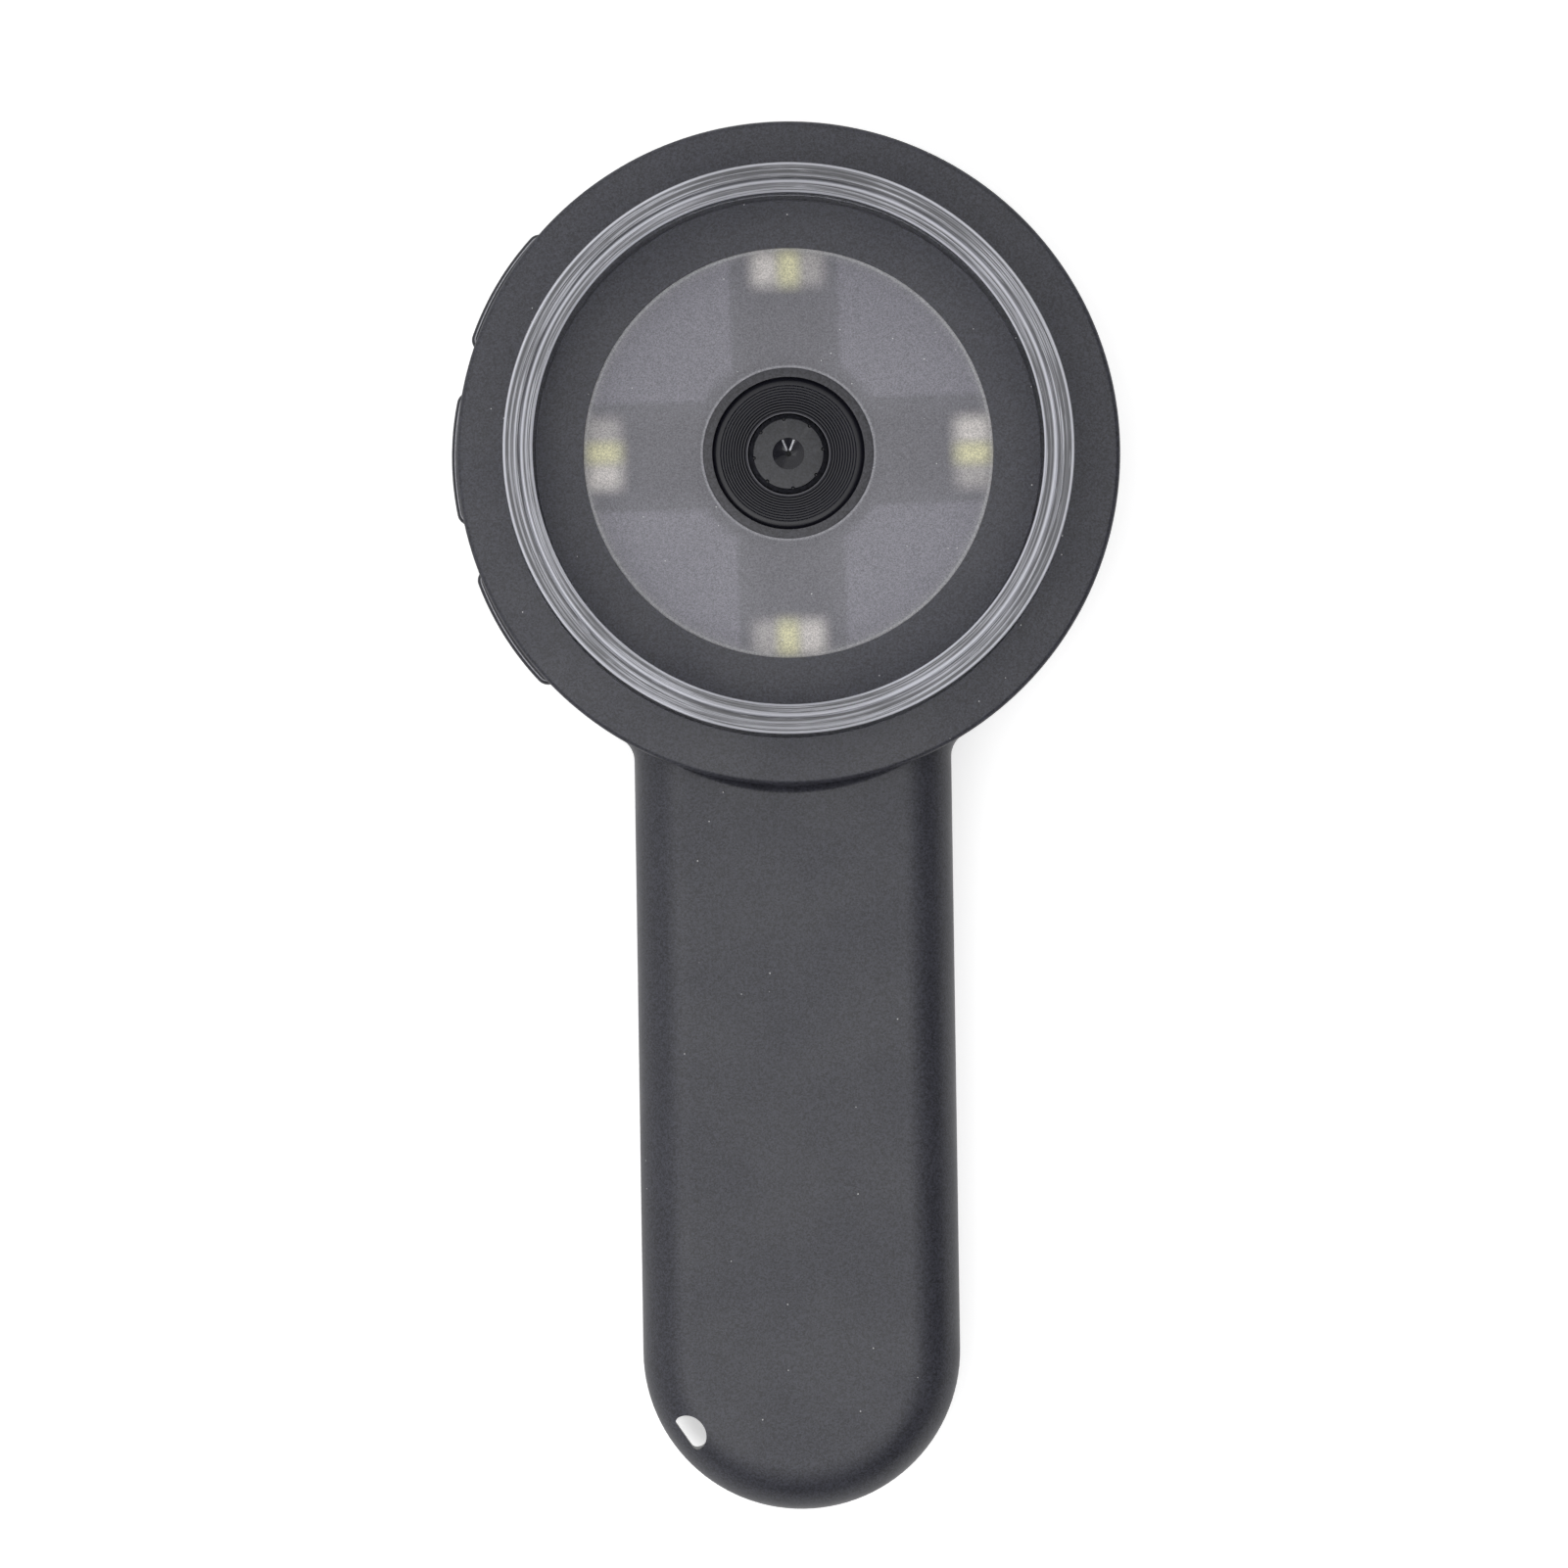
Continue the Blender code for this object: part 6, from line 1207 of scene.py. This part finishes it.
def draw_arc_block(inner, outer, chord, height, steps):
    """A curved block across the +X direction, its ends parallel to that direction."""
    outer_angle, inner_angle = math.asin(chord / 2 / outer), math.asin(chord / 2 / inner)
    bm = bmesh.new()
    start = bm.verts.new((outer * math.cos(outer_angle), -chord / 2, 0))
    vert = pen_arc(bm, start, (0, 0), 2 * outer_angle, steps)
    vert = pen_line(bm, vert, inner * math.cos(inner_angle), chord / 2)
    vert = pen_arc(bm, vert, (0, 0), -2 * inner_angle, steps)
    pen_line(bm, vert, start.co.x, start.co.y)
    close_outline(bm)
    raise_outline(bm, PARTING - height / 2, PARTING + height / 2)
    return bm


def draw_key_cap(keys, inner, stand):
    """A key's cap across the +X direction: bulging face, tapered ends, rounded rims, plain arc inside."""
    half = keys.chord / 2
    centre = keys.outer + stand - keys.bulge
    lean = math.asin((half - keys.taper) / (keys.bulge - keys.taper))
    corner = centre + (keys.bulge - keys.taper) * math.cos(lean)
    inner_angle = math.asin(half / inner)
    bm = bmesh.new()
    start = bm.verts.new((corner, -half, 0))
    vert = pen_arc(bm, start, (corner, keys.taper - half), math.pi / 2 - lean, 10)
    vert = pen_arc(bm, vert, (centre, 0), 2 * lean, 30)
    vert = pen_arc(bm, vert, (corner, half - keys.taper), math.pi / 2 - lean, 10)
    vert = pen_line(bm, vert, inner * math.cos(inner_angle), half)
    vert = pen_arc(bm, vert, (0, 0), -2 * inner_angle, 20)
    pen_line(bm, vert, start.co.x, start.co.y)
    close_outline(bm)
    raise_outline(bm, PARTING - keys.height / 2, PARTING + keys.height / 2)
    rim = [edge for edge in bm.edges if edge.calc_face_angle(0.0) > EDGE_TURN
           and all(vert.co.xy.length > HEAD_RADIUS - keys.edge for vert in edge.verts)]
    bevel(bm, rim, keys.edge, 8)
    return bm


def side_keys(settings):
    """Three arc-shaped keys, each a rounded cap with a painted highlight along its front edge, a flange and a
    nub behind the wall.
    """
    keys = settings.keys
    flange_outer, flange_depth, margin = HEAD_INSIDE - GAP, 0.9 * MM, 0.9 * MM
    flange_inner = flange_outer - flange_depth
    nub_depth, nub_side = 0.8 * MM, 2.0 * MM
    reach = nub_depth + flange_depth / 2
    painted_highlight = moulded("worn_key_edge", keys.highlight_colour, 0.32, grain=0.12 * MM, speckle=0.30)
    plastic = moulded("key_plastic", keys.colour, 0.40, grain=0.15 * MM, speckle=0.50, shine=0.35)
    for name, turn in KEY_TURNS.items():
        shift, stand = KEY_CAP_SHIFTS[name]
        cap = draw_key_cap(keys, flange_inner + flange_depth / 2, stand)
        cap.transform(Matrix.Rotation(shift, 4, "Z"))
        flange = draw_arc_block(flange_inner, flange_outer, keys.chord + 2 * margin,
                                keys.height + 2 * margin, 24)
        nub = block((reach, nub_side, nub_side), (flange_inner - nub_depth + reach / 2, 0, PARTING))
        key = carve(cap, [("UNION", flange), ("UNION", nub)])
        key.transform(Matrix.Rotation(turn, 4, "Z"))
        bmesh.ops.recalc_face_normals(key, faces=key.faces)
        if key.calc_volume(signed=True) < 0:
            bmesh.ops.reverse_faces(key, faces=key.faces)
        # Upward-tilted faces of the rounded front edge outside the head get the painted highlight.
        for face in key.faces:
            centre = face.calc_center_median()
            if HIGHLIGHT_TILT[0] < face.normal.z < HIGHLIGHT_TILT[1] and centre.xy.length > HEAD_RADIUS - 0.2 * MM:
                face.material_index = 1
        finish_piece("side_key_" + name, key, "case_black", ["key_" + name], name + "_key", plastic, (painted_highlight,),
                     weighted=True)


def rear_window(settings):
    """Round rear window with its polished edge."""
    section = [(0, WINDOW_TOP), (0, 0), (WINDOW_RADIUS, 0), (WINDOW_RADIUS, WINDOW_TOP)]
    bm = spin_section(section, settings.case.head_steps, ((2, 0.2 * MM, 4), (3, 0.08 * MM, 2)))
    finish_piece("rear_window", bm, "window_glass", ["display_window"],
                 material=screen_glass(settings.screen), weighted=True)


def case_screws():
    """Cross-recessed case screws with turned threads."""
    head, crown, shank, pitch = 1.8 * MM, 0.42 * MM, 1.0 * MM, 0.62 * MM
    core = 0.8 * shank
    for name, place in SCREW_PLACES.items():
        low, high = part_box("housing_screw_" + name)
        seat = low.z + 1.3 * MM
        section = [(0, high.z), (0, low.z), (head, low.z), (head, seat), (core, seat)]
        level = seat + 0.9 * MM
        while level < high.z - 1.2 * MM:
            section += [(core, level), (shank, level + pitch * 0.4), (shank, level + pitch * 0.5)]
            level += pitch
        section += [(core, level), (0.1 * MM, high.z)]
        bm = spin_section(section, 40, ((2, crown, 5),))
        bars = [block((2.1 * MM, 0.5 * MM, 1.4 * MM), (0, 0, low.z), turn, 0.12 * MM, 2)
                for turn in (0.0, math.pi / 2)]
        bm = carve(bm, [("DIFFERENCE", bar) for bar in bars])
        bmesh.ops.translate(bm, vec=(*place, 0), verts=bm.verts)
        finish_piece("case_screw_" + name, bm, "steel", ["housing_screw_" + name])


def usb_socket():
    """Oval steel charging socket with its tongue and gilt contacts."""
    low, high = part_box("usb_socket")
    level, width, height = (low.z + high.z) / 2, high.y - low.y, high.z - low.z
    depth, pocket_depth, shell = high.x - low.x, 5.8 * MM, 0.3 * MM
    body = bmesh.new()
    draw_stadium(body, width, height, 16)
    raise_outline(body, 0.0, depth)
    round_rim(body, depth, 0.12 * MM, 3)
    lay_outwards(body, low.x, 0.0, level)
    pocket = bmesh.new()
    draw_stadium(pocket, width - 2 * shell, height - 2 * shell, 16)
    raise_outline(pocket, depth - pocket_depth, depth + OVERRUN)
    lay_outwards(pocket, low.x, 0.0, level)
    root = high.x - pocket_depth
    tongue_size, contact_size = (5.3 * MM, 6.6 * MM, 0.7 * MM), (3.6 * MM, 0.26 * MM, 0.05 * MM)
    tongue = block(tongue_size, (root - ROOT + tongue_size[0] / 2, 0, level), 0.0, 0.12 * MM, 2)
    steel = carve(body, [("DIFFERENCE", pocket)])
    finish_piece("charge_socket", steel, "steel", ["usb_socket"])
    finish_piece("charge_tongue", tongue, "lens_black")
    contacts, count, pitch = [], 10, 0.5 * MM
    for side in (-1, 1):
        for index in range(count):
            y = (index - (count - 1) / 2) * pitch
            contacts.append(block(contact_size, (root + 2.3 * MM, y, level + side * 0.355 * MM)))
    gilt = metal("gilt_contacts", (0.72, 0.48, 0.18), 0.25)
    finish_piece("charge_contacts", together(*contacts), "steel", material=gilt)


def card_socket():
    """Memory card socket: a flat steel case round a dark slot."""
    width, height, depth, start = 14.0 * MM, 1.6 * MM, 14.0 * MM, 19.29 * MM
    middle, slot_depth = SEAT_LEVEL + height / 2, 12.0 * MM
    slot_size = (slot_depth + OVERRUN, 12.8 * MM, 1.0 * MM)
    body = block((depth, width, height), (start + depth / 2, 0, middle), CARD_TURN, 0.12 * MM, 2)
    slot = block(slot_size, (start + depth - slot_depth + slot_size[0] / 2, 0, middle), CARD_TURN,
                 0.1 * MM, 2)
    steel = carve(body, [("DIFFERENCE", slot)])
    finish_piece("card_slot", steel, "steel", ["card_socket"])


def dress_inner_parts():
    """Gives every CAD node that is still shown the finish of its own slot."""
    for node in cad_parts.values():
        if node.hide_render:
            continue
        slot = node.data.materials[0].name.split(".")[0]
        for holder in node.material_slots:
            holder.material = finish_for(slot)


# Stage


def soft_lamp(name, place, target, size, radiance):
    """A rectangular soft lamp that faces a point and isn't seen itself."""
    data = bpy.data.lights.new(name, "AREA")
    data.shape = "RECTANGLE"
    data.size, data.size_y = size
    data.energy = radiance * math.pi * size[0] * size[1]
    lamp = bpy.data.objects.new(name, data)
    bpy.context.scene.collection.objects.link(lamp)
    lamp.location = place
    lamp.rotation_mode = "QUATERNION"
    lamp.rotation_quaternion = (Vector(target) - Vector(place)).to_track_quat("-Z", "Y")
    lamp.visible_camera = False


def floor_material(colour):
    """Pale floor. The camera sees its shadow on white, other rays see plain white. It is clear from below."""
    material, net, shader = new_material("pale_floor")
    place = net.place()
    path = net.node("ShaderNodeLightPath")
    side = net.node("ShaderNodeNewGeometry")
    net.feed(shader.inputs["Base Color"], net.mix(net.noise(place, 30.0, 2.0), scaled(colour, 0.985), colour))
    net.feed(shader.inputs["Roughness"], 0.9)
    net.feed(shader.inputs["Specular IOR Level"], 0.0)
    shader.inputs["Emission Color"].default_value = (1, 1, 1, 1)
    shader.inputs["Emission Strength"].default_value = 0.55
    plain = net.node("ShaderNodeEmission", {"Color": (0.88, 0.88, 0.88), "Strength": 1.0})
    top = net.node("ShaderNodeMixShader", {0: path.outputs["Is Camera Ray"], 1: plain.outputs[0],
                                           2: shader.outputs[0]})
    see_through = net.node("ShaderNodeBsdfTransparent")
    both = net.node("ShaderNodeMixShader", {0: side.outputs["Backfacing"], 1: top.outputs[0],
                                            2: see_through.outputs[0]})
    output = material.node_tree.nodes["Material Output"]
    net.feed(output.inputs["Surface"], both.outputs[0])
    return material


def world_light(level):
    """Plain surroundings: white for what the camera, gloss and glass see, softer for the rest."""
    world = bpy.data.worlds.new("studio")
    bpy.context.scene.world = world
    world.use_nodes = True
    net = Net(world.node_tree)
    shade = world.node_tree.nodes["Background"]
    path = net.node("ShaderNodeLightPath")
    seen = net.math("MAXIMUM", path.outputs["Is Camera Ray"], path.outputs["Is Transmission Ray"])
    way = net.node("ShaderNodeTexCoord").outputs["Generated"]
    apart = net.split(way)
    askew = net.math("SUBTRACT", net.math("MULTIPLY", apart["Y"], 0.75),
                     net.math("MULTIPLY", apart["X"], 0.66))
    sides = net.ramp(askew, -0.7, 0.8, 0.08, 0.72)
    gloss = net.math("MULTIPLY", path.outputs["Is Glossy Ray"], net.ramp(askew, -0.7, 0.8, 0.08, 0.85))
    roof = net.ramp(apart["Z"], 0.55, 0.95, 0.0, 0.4)
    glow = net.math("ADD", sides, roof)
    strength = net.math("MAXIMUM", net.math("MAXIMUM", seen, gloss), net.math("MULTIPLY", glow, level))
    net.feed(shade.inputs["Color"], (1.0, 1.0, 1.0))
    net.feed(shade.inputs["Strength"], strength)


def build_stage(settings):
    """Camera, floor, lamps and surroundings."""
    stage = settings.stage
    scene = bpy.context.scene
    data = bpy.data.cameras.new("camera")
    data.lens = stage.lens
    data.sensor_width = 36.0
    data.clip_start, data.clip_end = 0.01, 20.0
    camera = bpy.data.objects.new("camera", data)
    scene.collection.objects.link(camera)
    camera.location = stage.camera
    camera.rotation_euler = (0, 0, stage.camera_turn)
    scene.camera = camera
    bm = bmesh.new()
    bmesh.ops.create_grid(bm, x_segments=1, y_segments=1, size=3.0)
    bmesh.ops.translate(bm, vec=(0, 0, -0.15 * MM), verts=bm.verts)
    floor = bpy.data.objects.new("floor", mesh_from("floor", bm))
    floor.data.materials.append(floor_material(stage.floor_colour))
    scene.collection.objects.link(floor)
    for name, place, target, size, radiance in SOFTBOXES:
        soft_lamp(name, place, target, size, radiance * stage.level)
    world_light(stage.level)
    scene.view_settings.view_transform = "Standard"


# Operators and panel


class MAGNIFIER_OT_front_case(bpy.types.Operator):
    """Build the front half of the case"""

    bl_idname = "magnifier.front_case"
    bl_label = "Front case"

    def execute(self, context):
        front_case(context.scene.magnifier)
        return {"FINISHED"}


class MAGNIFIER_OT_rear_case(bpy.types.Operator):
    """Build the rear half of the case"""

    bl_idname = "magnifier.rear_case"
    bl_label = "Rear case"

    def execute(self, context):
        rear_case(context.scene.magnifier)
        return {"FINISHED"}


class MAGNIFIER_OT_ring(bpy.types.Operator):
    """Build the clear stand-off ring"""

    bl_idname = "magnifier.ring"
    bl_label = "Clear ring"

    def execute(self, context):
        stand_off_ring(context.scene.magnifier)
        return {"FINISHED"}


class MAGNIFIER_OT_lamp_window(bpy.types.Operator):
    """Build the frosted window over the lamps"""

    bl_idname = "magnifier.lamp_window"
    bl_label = "Lamp window"

    def execute(self, context):
        lamp_window(context.scene.magnifier)
        return {"FINISHED"}


class MAGNIFIER_OT_lens(bpy.types.Operator):
    """Build the lens funnel, the barrel and its front lens"""

    bl_idname = "magnifier.lens"
    bl_label = "Lens"

    def execute(self, context):
        settings = context.scene.magnifier
        lens_funnel(settings)
        lens_barrel(settings)
        front_lens()
        return {"FINISHED"}


class MAGNIFIER_OT_keys(bpy.types.Operator):
    """Build the three side keys"""

    bl_idname = "magnifier.keys"
    bl_label = "Side keys"

    def execute(self, context):
        side_keys(context.scene.magnifier)
        return {"FINISHED"}


class MAGNIFIER_OT_screen(bpy.types.Operator):
    """Build the rear screen's window"""

    bl_idname = "magnifier.screen"
    bl_label = "Rear window"

    def execute(self, context):
        rear_window(context.scene.magnifier)
        return {"FINISHED"}


class MAGNIFIER_OT_screws(bpy.types.Operator):
    """Build the three case screws"""

    bl_idname = "magnifier.screws"
    bl_label = "Case screws"

    def execute(self, context):
        case_screws()
        return {"FINISHED"}


class MAGNIFIER_OT_sockets(bpy.types.Operator):
    """Build the charging socket and the card socket"""

    bl_idname = "magnifier.sockets"
    bl_label = "Sockets"

    def execute(self, context):
        usb_socket()
        card_socket()
        return {"FINISHED"}


class MAGNIFIER_OT_inner_parts(bpy.types.Operator):
    """Give the parts inside the case their finishes"""

    bl_idname = "magnifier.inner_parts"
    bl_label = "Inner parts"

    def execute(self, context):
        dress_inner_parts()
        return {"FINISHED"}


class MAGNIFIER_OT_stage(bpy.types.Operator):
    """Build the camera, the floor and the soft light"""

    bl_idname = "magnifier.stage"
    bl_label = "Stage"

    def execute(self, context):
        build_stage(context.scene.magnifier)
        return {"FINISHED"}


OPERATORS = (MAGNIFIER_OT_front_case, MAGNIFIER_OT_rear_case, MAGNIFIER_OT_ring, MAGNIFIER_OT_lamp_window,
             MAGNIFIER_OT_lens, MAGNIFIER_OT_keys, MAGNIFIER_OT_screen, MAGNIFIER_OT_screws,
             MAGNIFIER_OT_sockets, MAGNIFIER_OT_inner_parts, MAGNIFIER_OT_stage)


class MAGNIFIER_PT_panel(bpy.types.Panel):
    """Sidebar panel of the magnifier's settings and pieces"""

    bl_idname = "MAGNIFIER_PT_panel"
    bl_label = "Magnifier"
    bl_space_type = "VIEW_3D"
    bl_region_type = "UI"
    bl_category = "Magnifier"

    def draw(self, context):
        settings = context.scene.magnifier
        for name, kind in SETTING_GROUPS.items():
            box = self.layout.box()
            box.label(text=name.capitalize())
            for field in kind.__annotations__:
                box.prop(getattr(settings, name), field)
        for operator in OPERATORS:
            self.layout.operator(operator.bl_idname)


CLASSES = (*SETTING_GROUPS.values(), MagnifierSettings, *OPERATORS, MAGNIFIER_PT_panel)


def register():
    """Registers the classes and the scene's settings."""
    for kind in CLASSES:
        bpy.utils.register_class(kind)
    bpy.types.Scene.magnifier = PointerProperty(type=MagnifierSettings)


def unregister():
    """Takes the classes and the settings away again."""
    del bpy.types.Scene.magnifier
    for kind in reversed(CLASSES):
        bpy.utils.unregister_class(kind)


def main():
    """Builds every piece in order."""
    register()
    for operator in OPERATORS:
        namespace, name = operator.bl_idname.split(".")
        getattr(getattr(bpy.ops, namespace), name)()


if __name__ == "__main__":
    main()
